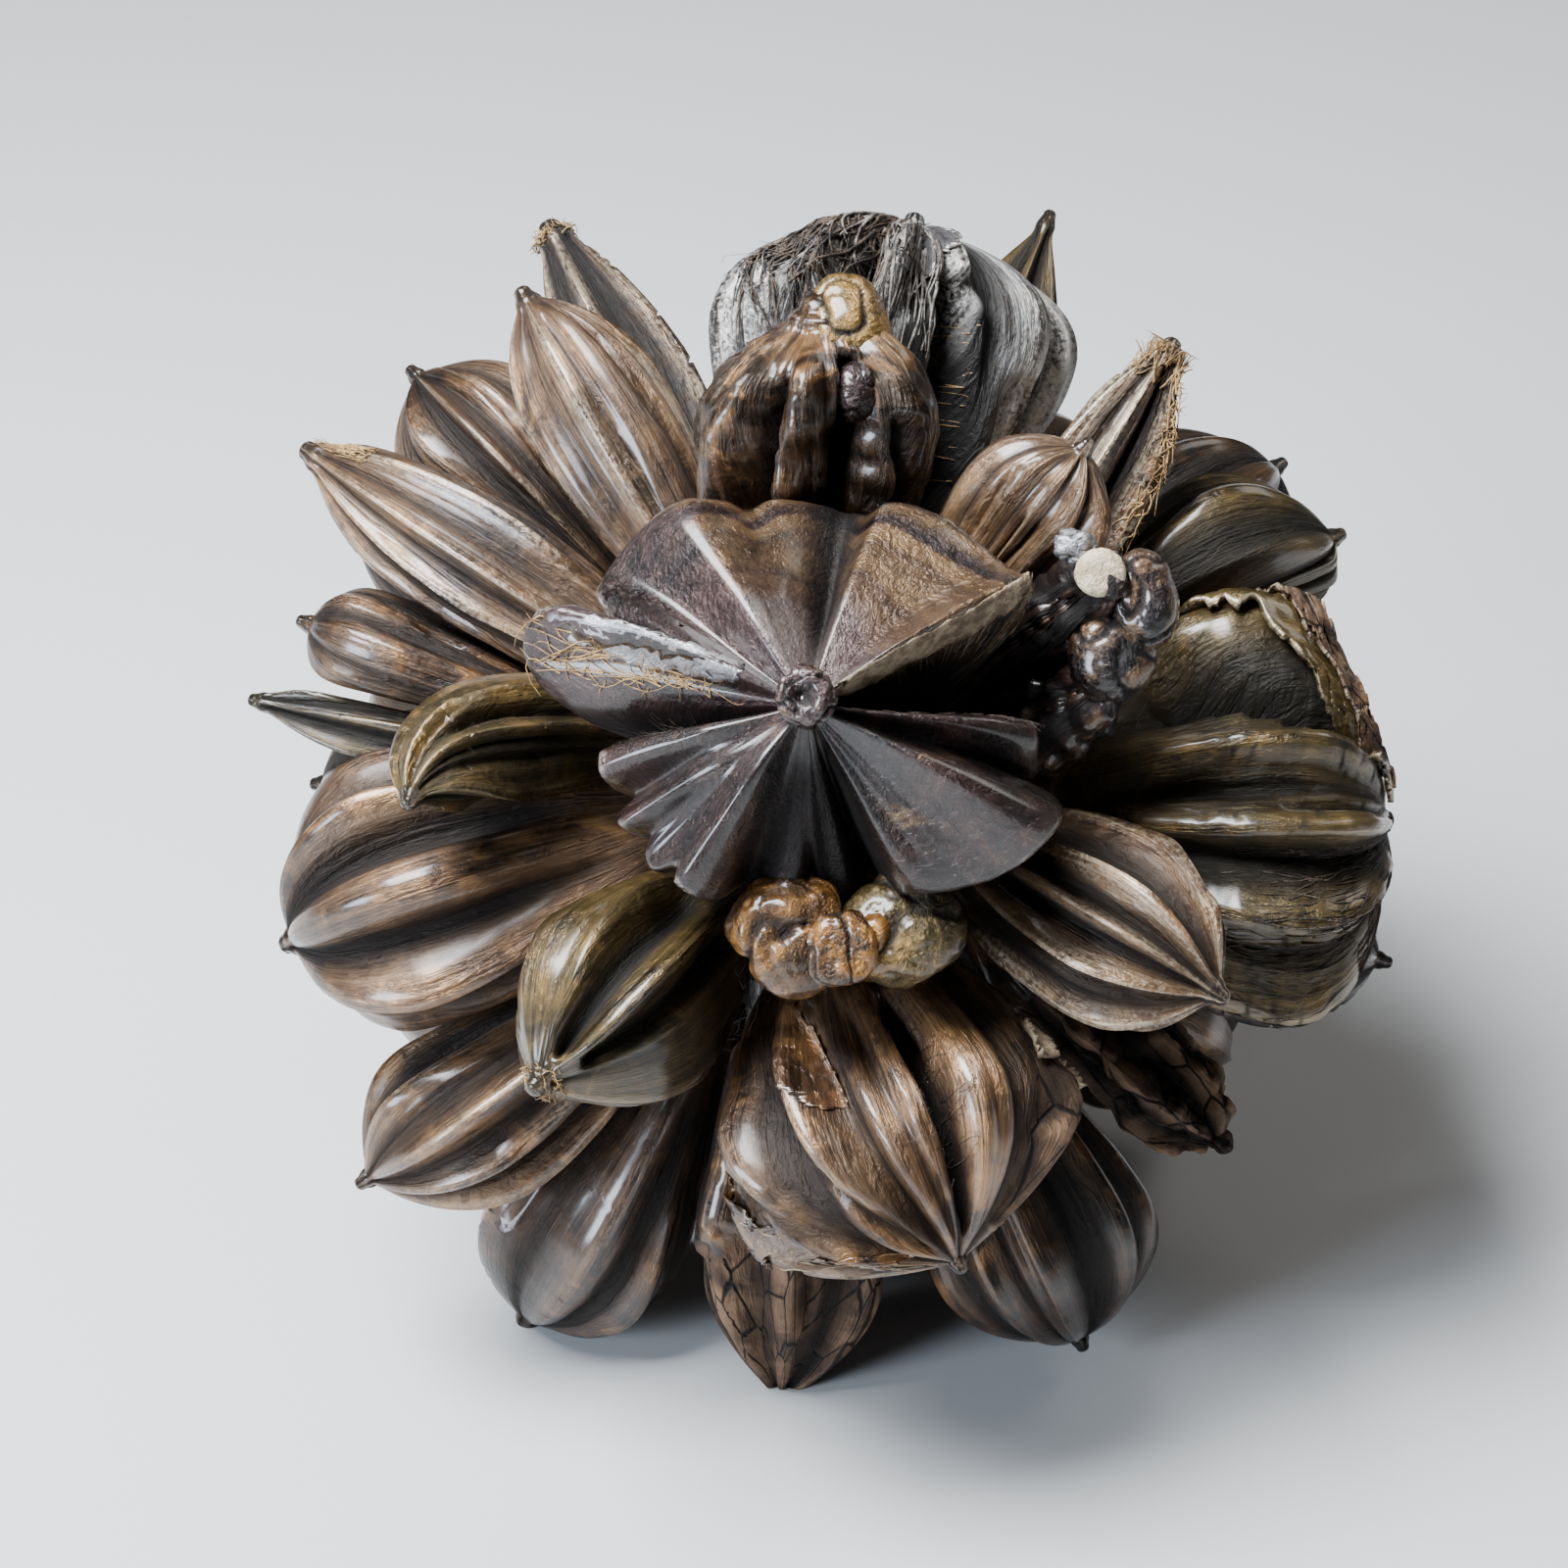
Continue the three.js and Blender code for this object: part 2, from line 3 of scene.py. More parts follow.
import bmesh
import bpy
import numpy as np
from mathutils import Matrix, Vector


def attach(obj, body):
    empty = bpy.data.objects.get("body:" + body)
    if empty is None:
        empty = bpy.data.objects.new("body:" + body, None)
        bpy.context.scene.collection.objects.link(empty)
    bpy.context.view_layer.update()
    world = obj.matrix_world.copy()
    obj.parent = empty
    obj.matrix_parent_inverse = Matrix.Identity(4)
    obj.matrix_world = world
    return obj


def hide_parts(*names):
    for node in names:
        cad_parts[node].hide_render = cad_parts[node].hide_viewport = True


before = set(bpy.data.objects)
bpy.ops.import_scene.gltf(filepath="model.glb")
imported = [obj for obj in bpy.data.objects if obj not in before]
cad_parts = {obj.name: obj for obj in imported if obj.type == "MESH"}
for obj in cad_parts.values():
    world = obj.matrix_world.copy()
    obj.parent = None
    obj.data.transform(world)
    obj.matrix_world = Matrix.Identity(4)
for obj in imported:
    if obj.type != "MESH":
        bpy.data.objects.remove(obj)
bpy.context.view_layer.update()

head = {
    "poleLift": 35,               # the front pole's height above the horizon, in degrees
    "middle": (-1.5, -1, 110),
    "coreRadius": 44,
    "coreGap": 0.5,               # between a root and the core
    "stalkRadius": 15,
    "stalkReach": 84,
    "stalkPlaces": (0.1, 0.3, 0.5, 0.75, 1),
    "stalkSides": 8,
    "rootFullness": 0.8,          # the lower, the faster a fruit widens from its root
    "domeEnd": 0.962,             # where the body ends and only the nub goes on
    "blunt": (2.4, -1.3),         # shape of a blunt tip, and what a point adds to it
    "full": (0.55, 0.4),
    "nubTaper": 0.4,
    "nubGrowth": 4,
    "rooted": (0.02, 0.4),        # the ribs grow over this stretch of the axis
    "rootEvened": 0.8,            # how far their heights are evened out at the root
    "nearPole": 0.93,             # a steeper axis measures its angles from the top instead
    "crestJitter": 0.4,
    "heightJitter": 0.14,
    "cutJitter": (0.7, 0.6),
    "spinePlaces": (0, 0.12, 0.28, 0.44, 0.6, 0.76, 0.9, 1),
    "spineMiddle": 4,
}

# How neighbours press on each other.
press = {
    "gap": 1.2,
    "reach": 3,                   # fruits further apart than this don't press
    "rounds": 90,                 # tries at a better plane
    "step": 0.3,
    "slowing": 0.15,
    "leastRadius": 1.6,           # the axis keeps this far inside the walls
    "pushRounds": 30,
    "softness": 6,                # the higher, the sharper the edge of a pressed flat
    "leastRoom": 1e-3,
    "leastLean": 1e-4,
}

detail = {
    "ribColumns": 15,             # columns of faces for each rib
    "manyRibs": 8,                # a fruit with more ribs than this is made
    "fewColumns": 12,             # with so many columns for each
    "hiddenColumns": 8,           # and a fruit of the back or underside with so many
    "rows": 84,
    "fewRows": 56,                # rows of a fruit of the back or underside
    "capRows": 4,                 # rows that round off the end of the nub
    "starColumns": 460,
    "starRows": 110,
    "rowCrowding": 1.25,          # above 1, the rows stand closer together near the tip
}

# What a fruit has unless its own settings say otherwise.
plainFruit = {
    "wide": 0.6,              # where along its axis it is broadest
    "point": 0.5,             # from 0, a blunt tip, to 1, a sharp one
    "bow": 6,                 # how far the axis bends outwards
    "sway": 0,                # and sideways
    "nub": 2.6,               # radius of the dried stub on the tip
    "hold": 1,                # how firmly it stands against a neighbour
    "cut": 0.2,               # depth of the valleys, as a share of the radius
    "roll": 0,                # degrees by which the first rib is turned
    "crest": 1.2,             # the higher, the broader its ribs
    "keel": 0,                # height of a thin line on each crest
    "minor": 3,               # small ribs beside each rib
    "minorCut": 0.03,         # their depth, as a share of the radius
    "evened": 1,              # share of that depth which shows here
    "furrow": 0.7,            # depth of the thin line in each valley
    "creases": 9,             # long shallow creases
    "folds": (),              # see foldsAt
    "wrinkle": 0.4,           # height of the wrinkles
    "dent": 1,                # depth of the soft dents
    "dentSize": 20,           # and how far apart
    "lumps": 0,               # height of the lumps
    "lumpSize": 6,            # and how far apart
    "capRise": 0.75,          # how far the nub is drawn out
    "bare": (),               # broken-off skin: start, end, early and late bearing, spread
    "bareStep": 0,            # depth of the lost skin
    "skin": "bronzeHusk",     # its material, see skins
    "tone": 0.45,             # from 0, dark, to 1, light
    "gold": 0.3,              # from 0 to 1, golden patches
    "tipGold": 0,             # more of them near the tip
    "wear": 0.4,              # from 0 to 1, pale crests
    "bands": 0.15,            # growth bands round it
    "hidden": False,          # out of the camera's view, with fewer faces
}

# What the fruits of the back and underside have in common. The photograph doesn't show them.
backFruit = dict(point=0.3, bow=4, ribs=7, cut=0.24, crest=1.3, dent=1.2, skin="darkHusk",
                 wear=0.35, hidden=True)

# The fruits that show. tip and root are clock, turn and reach round the front pole, half is the
# half width across and deep, and the outline gives the star's bearings and reaches.
shownFruits = [
    dict(name="fruit_star", tip=(-8, 11, 118), root=(0, 5), half=(52, 52), wide=0.66, point=0.95,
         bow=0, nub=4.5, hold=5, outline=[(-62, 50), (-57, 56), (-48, 60), (-38, 64), (-28, 66),
         (-20, 63), (-16, 58), (-10, 64), (0, 65), (8, 63), (13, 57), (20, 61), (30, 62), (40, 62),
         (50, 65), (57, 70), (61, 58), (66, 34), (78, 30), (84, 44), (88, 53), (94, 55), (99, 52),
         (101, 42), (104, 63), (108, 71), (114, 67), (122, 60), (132, 54), (142, 49), (150, 43),
         (154, 28), (160, 33), (168, 35), (176, 34), (180, 29), (186, 38), (194, 40), (201, 39),
         (205, 35), (209, 46), (215, 49), (220, 47), (223, 42), (228, 46), (233, 45), (237, 41),
         (242, 46), (247, 45), (251, 40), (256, 46), (262, 46), (267, 44), (271, 36), (277, 53),
         (283, 65), (288, 69), (294, 66), (298, 58)], crest=1, minor=1, minorCut=0, furrow=0,
         creases=0, wrinkle=0.25, dent=0.8, skin="plumHusk", tone=0.3, gold=0.1, wear=0.15, seed=1),
    dict(name="fruit_crumpled", tip=(0, 57, 130), root=(2, 36), half=(31, 25), point=0.25, nub=8,
         hold=3, ribs=7, cut=0.32, roll=12, crest=2, minor=1, minorCut=0, evened=0.1, furrow=0,
         creases=16, folds=[(78, 50, 13, 4, 0.2, 0.9), (56, 28, 7, -7, 0.2, 0.85),
         (40, 8, 14, 5, 0.2, 0.92), (12, 0, 5, 3, 0.25, 0.8), (350, 330, 15, -12, 0.3, 0.9),
         (318, 290, 20, 5, 0.2, 1.1), (296, 310, 7, -5, 0.15, 0.75), (330, 318, 4, -3, 0.1, 0.55),
         (304, 301, 4, -2, 0.1, 0.5)], wrinkle=1.5, dent=4, dentSize=15, lumps=0.5, lumpSize=8,
         tone=0.12, gold=0.2, tipGold=0.3, seed=5),
    dict(name="fruit_scalloped", tip=(36, 52, 124), root=(30, 36), half=(20, 13), point=0.1, hold=2,
         ribs=9, cut=0.14, minor=4, minorCut=0.05, evened=0.4, creases=18,
         folds=[(284, 288, 9, 3, 0.2, 0.95), (268, 271, 7, -4, 0.2, 0.95)], wrinkle=0.6, dent=0.8,
         tone=0.6, gold=0.35, wear=0.6, seed=6),
    dict(name="stunted_cut", tip=(50, 40, 124), root=(54, 36), half=(12, 11), wide=0.5, point=0.2,
         bow=0, nub=6.5, hold=2, ribs=5, cut=0.1, crest=2, minor=1, minorCut=0.02, wrinkle=0.9,
         dent=2, dentSize=9, lumps=0.6, lumpSize=5, capRise=0.05, skin="plumHusk", tone=0.25,
         gold=0.5, seed=13),
    dict(name="stunted_knob", tip=(66, 38, 112), root=(70, 38), half=(13, 12), point=0.1, bow=0,
         nub=4, hold=2, ribs=5, cut=0.12, crest=2, minor=1, minorCut=0.02, wrinkle=0.9, dent=2.5,
         dentSize=9, lumps=1, capRise=0.1, skin="plumHusk", tone=0.2, gold=0.5, wear=0.1, seed=14),
    dict(name="fruit_bronze", tip=(115, 48, 127), root=(92, 30), half=(26, 17), wide=0.62, point=0.55,
         nub=3.5, hold=3, ribs=9, cut=0.26, crest=0.9, keel=1, folds=[(108, 104, 7, 3, 0.15, 0.95),
         (298, 306, 8, 3, 0.15, 0.95), (88, 80, 8, -2, 0.2, 0.85)], wrinkle=0.35, dent=0.8, tone=0.62,
         gold=0.6, wear=0.75, seed=15),
    dict(name="fruit_lower_front", tip=(163, 53, 129), root=(180, 32), half=(46, 30), wide=0.55,
         bow=10, hold=3, ribs=10, cut=0.24, crest=1.5, folds=[(16, 30, 7, -8, 0.25, 0.93),
         (84, 70, 10, -4, 0.3, 0.75), (352, 372, 5, -3.5, 0.2, 0.96), (338, 362, 6, 2.5, 0.2, 0.96),
         (325, 350, 5, -4, 0.2, 0.96), (312, 340, 6, 2.5, 0.2, 0.96), (300, 328, 5, -4, 0.25, 0.95),
         (287, 315, 6, 2.5, 0.3, 0.95), (276, 300, 5, -4, 0.3, 0.95)], wrinkle=0.5, dent=1.5,
         bare=[(0.4, 0.9, 88, 74, 13), (0.72, 0.95, 262, 285, 12)], bareStep=1, tone=0.5, gold=0.5,
         seed=16),
    dict(name="stunted_gold", tip=(172, 16, 104), root=(166, 20), half=(25, 12), wide=0.66, point=0,
         bow=0, nub=7, hold=2, ribs=5, crest=2, minor=1, minorCut=0.02, wrinkle=0.9, dent=4,
         dentSize=10, lumps=1.5, lumpSize=9, capRise=0.1, skin="resinLump", tone=0.6, gold=0.9,
         wear=0.3, seed=17),
    dict(name="fruit_keeled", tip=(226, 42, 126), root=(228, 30), half=(26, 24), wide=0.55,
         point=0.55, nub=3.5, hold=3, ribs=5, cut=0.3, crest=1.3, keel=0.5, minorCut=0.02, evened=0.4,
         folds=[(318, 326, 6, 4, 0.2, 0.95), (340, 345, 15, -6, 0.2, 0.93),
         (362, 368, 6, 5, 0.2, 0.95), (22, 26, 12, -5, 0.2, 0.9)], wrinkle=0.35, dent=1.6,
         skin="oliveHusk", tone=0.42, seed=18),
    dict(name="fruit_curved", tip=(271, 44, 126), root=(306, 36), half=(16, 14), wide=0.55, point=0.4,
         bow=10, sway=-12, nub=3, hold=3, ribs=6, cut=0.3, crest=0.9, keel=0.5, wrinkle=0.35,
         skin="oliveHusk", tone=0.5, gold=0.4, wear=0.5, seed=19),
    # its silver-grey skin is a painted sheen
    dict(name="fruit_top", tip=(9, 80, 138), root=(4, 52), half=(44, 32), point=0.15, bow=10, nub=4,
         ribs=11, cut=0.18, crest=1, keel=0.6, minorCut=0.08, evened=1.3,
         folds=[(306, 334, 10, -15, 0.12, 0.8), (290, 322, 8, 3.5, 0.15, 0.78),
         (328, 354, 6, 2.5, 0.2, 0.78), (60, 75, 14, -4, 0.7, 0.93), (20, 5, 10, -5, 0.62, 0.95),
         (352, 352, 7, -4, 0.6, 0.93), (36, 30, 6, 3, 0.6, 0.97), (6, 0, 5, 3, 0.6, 0.97)],
         wrinkle=0.8, dent=0.8, skin="silverHusk", tone=0.6, gold=0.1, wear=0.9, seed=20),
    dict(name="fruit_winged", tip=(21, 101, 156), root=(22, 84), half=(20, 11), wide=0.5, point=0.8,
         bow=2, ribs=5, cut=0.4, crest=0.8, keel=0.4, wrinkle=0.5, dent=1.2, skin="oliveHusk",
         tone=0.35, gold=0.2, seed=21),
    dict(name="fruit_frayed", tip=(37, 72, 137), root=(52, 54), half=(16, 15), wide=0.55, bow=4,
         nub=3.5, hold=2, ribs=6, cut=0.28, crest=0.9, keel=0.5, minorCut=0.06, wrinkle=0.5, tone=0.5,
         gold=0.4, wear=0.8, seed=22),
    dict(name="fruit_shade_right", tip=(53, 100, 140), root=(53, 84), half=(27, 22), point=0.2, bow=4,
         ribs=7, skin="darkHusk", tone=0.25, gold=0.1, wear=0.2, seed=23),
    dict(name="fruit_dull_right", tip=(62, 82, 136), root=(58, 58), half=(30, 26), wide=0.58,
         point=0.4, bow=8, ribs=8, skin="oliveHusk", tone=0.35, gold=0.1, wear=0.2, seed=24),
    dict(name="fruit_right", tip=(91, 79, 131), root=(95, 46), half=(57, 36), point=0.4, bow=12,
         nub=3.5, hold=2, ribs=10, crest=1.3, minorCut=0.035, folds=[(69, 36, 8, -12, 0.28, 0.9),
         (84, 52, 10, 4, 0.25, 0.93), (8, 6, 3.5, -4, 0.5, 0.95), (30, 20, 5, -2, 0.4, 0.9)],
         wrinkle=0.45, dent=1.6, lumps=0.3, bare=[(0.45, 0.94, 100, 62, 9)], skin="oliveHusk", seed=25),
    dict(name="fruit_shade_low_right", tip=(105, 97, 140), root=(106, 84), half=(25, 22), point=0.3,
         bow=4, ribs=6, cut=0.22, minorCut=0.02, skin="darkHusk", tone=0.25, gold=0.1, wear=0.2,
         seed=26),
    dict(name="fruit_jagged", tip=(130, 80, 121), root=(126, 62), half=(22, 16), point=0.1, bow=4,
         ribs=6, cut=0.3, crest=1, minorCut=0.06, wrinkle=0.8, dent=2, dentSize=10, lumps=1.5,
         lumpSize=7, bare=[(0.3, 1.1, 0, 0, 200)], bareStep=1, skin="darkHusk", tone=0.25, seed=27),
    dict(name="fruit_low_right", tip=(154, 90, 139), root=(148, 62), half=(31, 27), point=0.4, bow=8,
         ribs=9, wrinkle=0.5, skin="darkHusk", tone=0.35, wear=0.3, seed=28),
    dict(name="fruit_broken", tip=(184, 92, 142), root=(182, 58), half=(37, 27), wide=0.5, point=0.7,
         nub=4, ribs=6, cut=0.18, crest=1.6, minor=2, folds=[(8, 12, 8, -3, 0.3, 0.7),
         (330, 335, 10, -2, 0.3, 0.8)], wrinkle=0.5, dent=2, bare=[(0.5, 1.1, 0, 0, 200)],
         bareStep=2.4, skin="darkHusk", tone=0.38, seed=29),
    dict(name="fruit_low_left", tip=(210, 98, 143), root=(210, 64), half=(34, 27), nub=3.5, ribs=6,
         cut=0.22, crest=1.5, minorCut=0.02, wrinkle=0.3, dent=1.2, skin="darkHusk", tone=0.36,
         seed=30),
    dict(name="fruit_lower_left", tip=(231, 80, 137), root=(222, 52), half=(24, 24), bow=7, hold=2,
         ribs=9, cut=0.28, crest=1, keel=0.3, minor=2, minorCut=0.04, wrinkle=0.35, tone=0.55,
         gold=0.5, wear=0.5, seed=31),
    dict(name="fruit_left", tip=(256, 76, 128), root=(272, 34), half=(39, 31), wide=0.55, point=0.4,
         bow=12, nub=4, hold=2, ribs=7, cut=0.32, crest=2, minorCut=0.02, wrinkle=0.3, dent=1.6,
         gold=0.45, wear=0.3, seed=32),
    dict(name="fruit_small_left", tip=(281, 86, 134), root=(281, 60), half=(13, 10), wide=0.55,
         point=0.55, bow=3, ribs=6, cut=0.3, crest=0.9, keel=0.3, minor=2, minorCut=0.04, wrinkle=0.3,
         dent=0.6, skin="oliveHusk", gold=0.2, wear=0.5, seed=33),
    dict(name="fruit_banded", tip=(290, 84, 128), root=(290, 62), half=(18, 16), wide=0.65, point=0,
         bow=4, ribs=6, cut=0.18, crest=1.5, skin="darkHusk", gold=0.5, seed=34),
    dict(name="fruit_shade_left", tip=(273, 99, 122), root=(273, 84), half=(23, 20), point=0.2, bow=3,
         ribs=6, minor=2, minorCut=0.02, skin="darkHusk", tone=0.35, wear=0.2, seed=35),
    dict(name="fruit_long", tip=(305, 86, 145), root=(312, 46), half=(21, 17), wide=0.5, nub=4,
         hold=2, ribs=9, cut=0.26, crest=1.1, keel=0.3, wrinkle=0.35, dent=0.9, tone=0.52, gold=0.4,
         wear=0.6, seed=36),
    dict(name="fruit_sliver", tip=(300, 99, 130), root=(300, 84), half=(15, 13), wide=0.55, bow=3,
         ribs=6, cut=0.22, crest=1, minor=2, minorCut=0.02, skin="darkHusk", tone=0.35, gold=0.2,
         seed=37),
    dict(name="fruit_upper_left", tip=(317, 92, 141), root=(320, 62), half=(28, 22), wide=0.55,
         point=0.35, ribs=9, cut=0.24, crest=1.1, minorCut=0.04, gold=0.35, wear=0.5, seed=38),
    dict(name="fruit_boat", tip=(330, 80, 138), root=(332, 44), half=(19, 17), wide=0.55, point=0.3,
         nub=3.5, hold=3, ribs=5, cut=0.22, keel=0.5, minor=4, minorCut=0.025, evened=0.5,
         folds=[(356, 350, 5, -4.5, 0.15, 0.92), (298, 310, 5, -4.5, 0.15, 0.92),
         (326, 330, 16, 2, 0.2, 0.95)], wrinkle=0.3, tone=0.5, gold=0.4, wear=0.6, seed=39),
    dict(name="fruit_truncated", tip=(335, 99, 155), root=(340, 78), half=(17, 14), wide=0.5,
         point=0.4, bow=3, nub=5, ribs=6, cut=0.28, crest=1, minor=2, minorCut=0.05, wrinkle=0.5,
         skin="darkHusk", tone=0.35, gold=0.15, wear=0.7, seed=40),
]

backFruits = [
    dict(name="fruit_back_a", tip=(0, 118, 134), root=(0, 110), half=(35, 31), skin="bronzeHusk",
         tone=0.4, seed=41),
    dict(name="fruit_back_b", tip=(40, 122, 136), root=(40, 112), half=(34, 31), point=0.35, tone=0.5,
         seed=42),
    dict(name="fruit_back_c", tip=(82, 118, 132), root=(82, 110), half=(38, 33), wide=0.58,
         point=0.25, ribs=8, skin="oliveHusk", tone=0.35, seed=43),
    dict(name="fruit_back_d", tip=(122, 120, 133), root=(122, 110), half=(34, 30), point=0.35,
         skin="bronzeHusk", seed=44),
    dict(name="fruit_under_right", tip=(148, 132, 127), root=(148, 116), half=(29, 26), point=0.2,
         bow=3, tone=0.3, seed=45),
    dict(name="fruit_under", tip=(184, 116, 117), root=(184, 104), half=(29, 25), point=0.2, bow=3,
         skin="bronzeHusk", tone=0.4, seed=46),
    dict(name="fruit_under_left", tip=(216, 133, 130), root=(216, 116), half=(30, 27), point=0.2,
         bow=3, ribs=8, skin="oliveHusk", tone=0.5, seed=47),
    dict(name="fruit_back_e", tip=(250, 118, 133), root=(250, 110), half=(34, 31), tone=0.35, seed=48),
    dict(name="fruit_back_f", tip=(290, 122, 136), root=(290, 112), half=(35, 31), wide=0.58,
         point=0.35, ribs=8, skin="bronzeHusk", seed=49),
    dict(name="fruit_back_g", tip=(327, 124, 134), root=(327, 112), half=(33, 30), tone=0.3, seed=50),
    dict(name="fruit_stem_a", tip=(15, 148, 127), root=(15, 140), half=(36, 33), bow=3, ribs=8,
         skin="oliveHusk", tone=0.4, seed=51),
    dict(name="fruit_stem_b", tip=(98, 149, 130), root=(98, 140), half=(35, 32), bow=3, tone=0.5,
         seed=52),
    dict(name="fruit_stem_c", tip=(182, 152, 127), root=(182, 142), half=(34, 31), point=0.25, bow=3,
         skin="bronzeHusk", tone=0.35, seed=53),
    dict(name="fruit_stem_d", tip=(270, 150, 131), root=(270, 140), half=(35, 32), bow=3, ribs=8,
         seed=54),
]

fruits = ([{**plainFruit, **own} for own in shownFruits]
          + [{**plainFruit, **backFruit, **own} for own in backFruits])

poleLift = math.radians(head["poleLift"])
toRight = np.array((1.0, 0.0, 0.0))
toPole = np.array((0.0, -math.cos(poleLift), math.sin(poleLift)))
toTop = np.array((0.0, math.sin(poleLift), math.cos(poleLift)))
middle = np.array(head["middle"], float)


def blend(low, high, share):
    return low + (high - low) * share


def ramp(value, low, high):
    share = np.clip((value - low) / (high - low), 0, 1)
    return share * share * (3 - 2 * share)


# a number between 0 and 1 that looks random and is the same on every run
def draw(seed, count):
    spread = np.sin(seed * 12.9898 + count * 78.233) * 43758.5453
    return spread - np.floor(spread)


def bearing(clock, turn):
    clock, turn = math.radians(clock), math.radians(turn)
    side = math.sin(turn)
    return (toRight * side * math.sin(clock) + toTop * side * math.cos(clock)
            + toPole * math.cos(turn))


def unit(vector):
    return vector / np.linalg.norm(vector, axis=-1, keepdims=True)


# smooth noise between -1 and 1, the same on every run
def softNoise(places, size, seed):
    place = places / size + seed * 17.13
    cell = np.floor(place)
    part = place - cell
    part = part * part * (3 - 2 * part)
    total = 0
    for corner in np.ndindex(2, 2, 2):
        value = np.sin((cell + corner) @ np.array((12.9898, 78.233, 37.719))) * 43758.5453
        share = np.where(corner, part, 1 - part).prod(axis=-1)
        total = total + (value - np.floor(value)) * share
    return 2 * total - 1


# degrees between a bearing and a place round the fruit
def degreesAway(angle, place):
    return np.abs((np.degrees(angle) - place + 180) % 360 - 180)


# The fruit's own form, the same as in the CAD source.


def axisOf(fruit):
    rootWay = bearing(*fruit["root"])
    root = middle + rootWay * (head["coreRadius"] + head["coreGap"])
    clock, turn, reach = fruit["tip"]
    tip = middle + bearing(clock, turn) * reach
    half = (root + tip) / 2
    outward = unit(half - middle)
    sideways = unit(np.cross(outward, tip - root))
    half = half + outward * 2 * fruit["bow"] + sideways * 2 * fruit["sway"]
    return rootWay, (root, half, tip)


def axisPoint(curve, along):
    root, half, tip = curve
    rest = 1 - along
    return rest ** 2 * root + 2 * along * rest * half + along ** 2 * tip


def axisFrame(curve, along):
    root, half, tip = curve
    along = np.clip(along, 0.001, 0.999)
    tangent = unit((1 - along) * (half - root) + along * (tip - half))
    steep = np.abs(tangent @ toPole)[..., None] > head["nearPole"]
    facing = np.where(steep, toTop, toPole)
    first = unit(facing - tangent * (facing * tangent).sum(axis=-1, keepdims=True))
    return first, np.cross(first, tangent), tangent


def widthAlong(fruit, along):
    wide, point = fruit["wide"], fruit["point"]
    rooted = np.sin(np.pi / 2 * np.clip(along / wide, 0, 1)) ** head["rootFullness"]
    rest = np.clip((along - wide) / (head["domeEnd"] - wide), 0, 1)
    (blunt, sharper), (full, fuller) = head["blunt"], head["full"]
    domed = (1 - rest ** (blunt + sharper * point)) ** (full + fuller * point)
    return np.where(along < wide, rooted, domed)


def crestsOf(fruit):
    if "outline" in fruit:
        outline = np.array(fruit["outline"], float)
        return {"angle": np.radians(outline[:, 0]), "height": outline[:, 1] / fruit["half"][0],
                "cut": np.zeros(len(outline))}
    count, seed = np.arange(fruit["ribs"]), fruit["seed"]
    turned = count + head["crestJitter"] * (draw(seed, count) - 0.5)
    least, more = head["cutJitter"]
    return {"angle": np.radians(360 * turned / fruit["ribs"] + fruit["roll"]),
            "height": 1 + head["heightJitter"] * (draw(seed, count + 20) - 0.5),
            "cut": fruit["cut"] * (least + more * draw(seed, count + 40))}


def nubAlong(fruit, along):
    taper = 1 - head["nubTaper"] * ramp(along, head["domeEnd"], 1)
    return fruit["nub"] * taper * np.minimum(1, along * head["nubGrowth"])


def ovalAt(fruit, angle):
    across, deep = fruit["half"]
    return 1 / np.hypot(np.cos(angle) / deep, np.sin(angle) / across)


def looseFruit(fruit):
    rootWay, curve = axisOf(fruit)
    crests = crestsOf(fruit)
    along = np.array(head["spinePlaces"])[:, None]
    spine = axisPoint(curve, along)
    first, second, _ = axisFrame(curve, along)
    rooted = ramp(along, *head["rooted"])
    height = blend(crests["height"], 1, (1 - rooted) * head["rootEvened"])
    body = ovalAt(fruit, crests["angle"]) * height * widthAlong(fruit, along)
    radius = np.hypot(body, nubAlong(fruit, along))[..., None]
    corners = (spine[:, None] + radius * np.cos(crests["angle"])[:, None] * first[:, None]
               + radius * np.sin(crests["angle"])[:, None] * second[:, None])
    return {"fruit": fruit, "rootWay": rootWay, "curve": curve, "crests": crests,
            "corners": corners.reshape(-1, 3), "spine": spine, "hold": fruit["hold"],
            "length": np.linalg.norm(curve[2] - curve[0]), "walls": []}


def farthest(points, way, sign):
    return points[np.argmax(sign * (points @ way))]


# the plane on which two neighbours press, where it cuts least from either
def pressPlane(one, two):
    way = unit(two["spine"][head["spineMiddle"]] - one["spine"][head["spineMiddle"]])
    best = None
    for count in range(press["rounds"]):
        fromOne = farthest(one["corners"], way, 1)
        fromTwo = farthest(two["corners"], way, -1)
        low, high = fromOne @ way, fromTwo @ way
        if best is None or high - low > best[0]:
            best = (high - low, way, low, high)
        pull = fromTwo - fromOne
        size = math.sqrt(pull @ pull)
        if size < 1e-6:
            break
        way = way + pull * (press["step"] / (size * (1 + press["slowing"] * count)))
        way = way / math.sqrt(way @ way)
    clear, way, low, high = best
    share = two["hold"] / (one["hold"] + two["hold"])
    oneSpine = farthest(one["spine"], way, 1) @ way + press["leastRadius"]
    twoSpine = farthest(two["spine"], way, -1) @ way - press["leastRadius"]
    level = (oneSpine + twoSpine) / 2
    if oneSpine < twoSpine:
        level = min(max(blend(low, high, share), oneSpine), twoSpine)
    return clear, way, level


def pressTogether(bodies):
    for count, one in enumerate(bodies):
        for two in bodies[count + 1:]:
            clear, way, level = pressPlane(one, two)
            if clear <= press["reach"]:
                one["walls"].append((way, level - press["gap"] / 2))
                two["walls"].append((-way, -level - press["gap"] / 2))


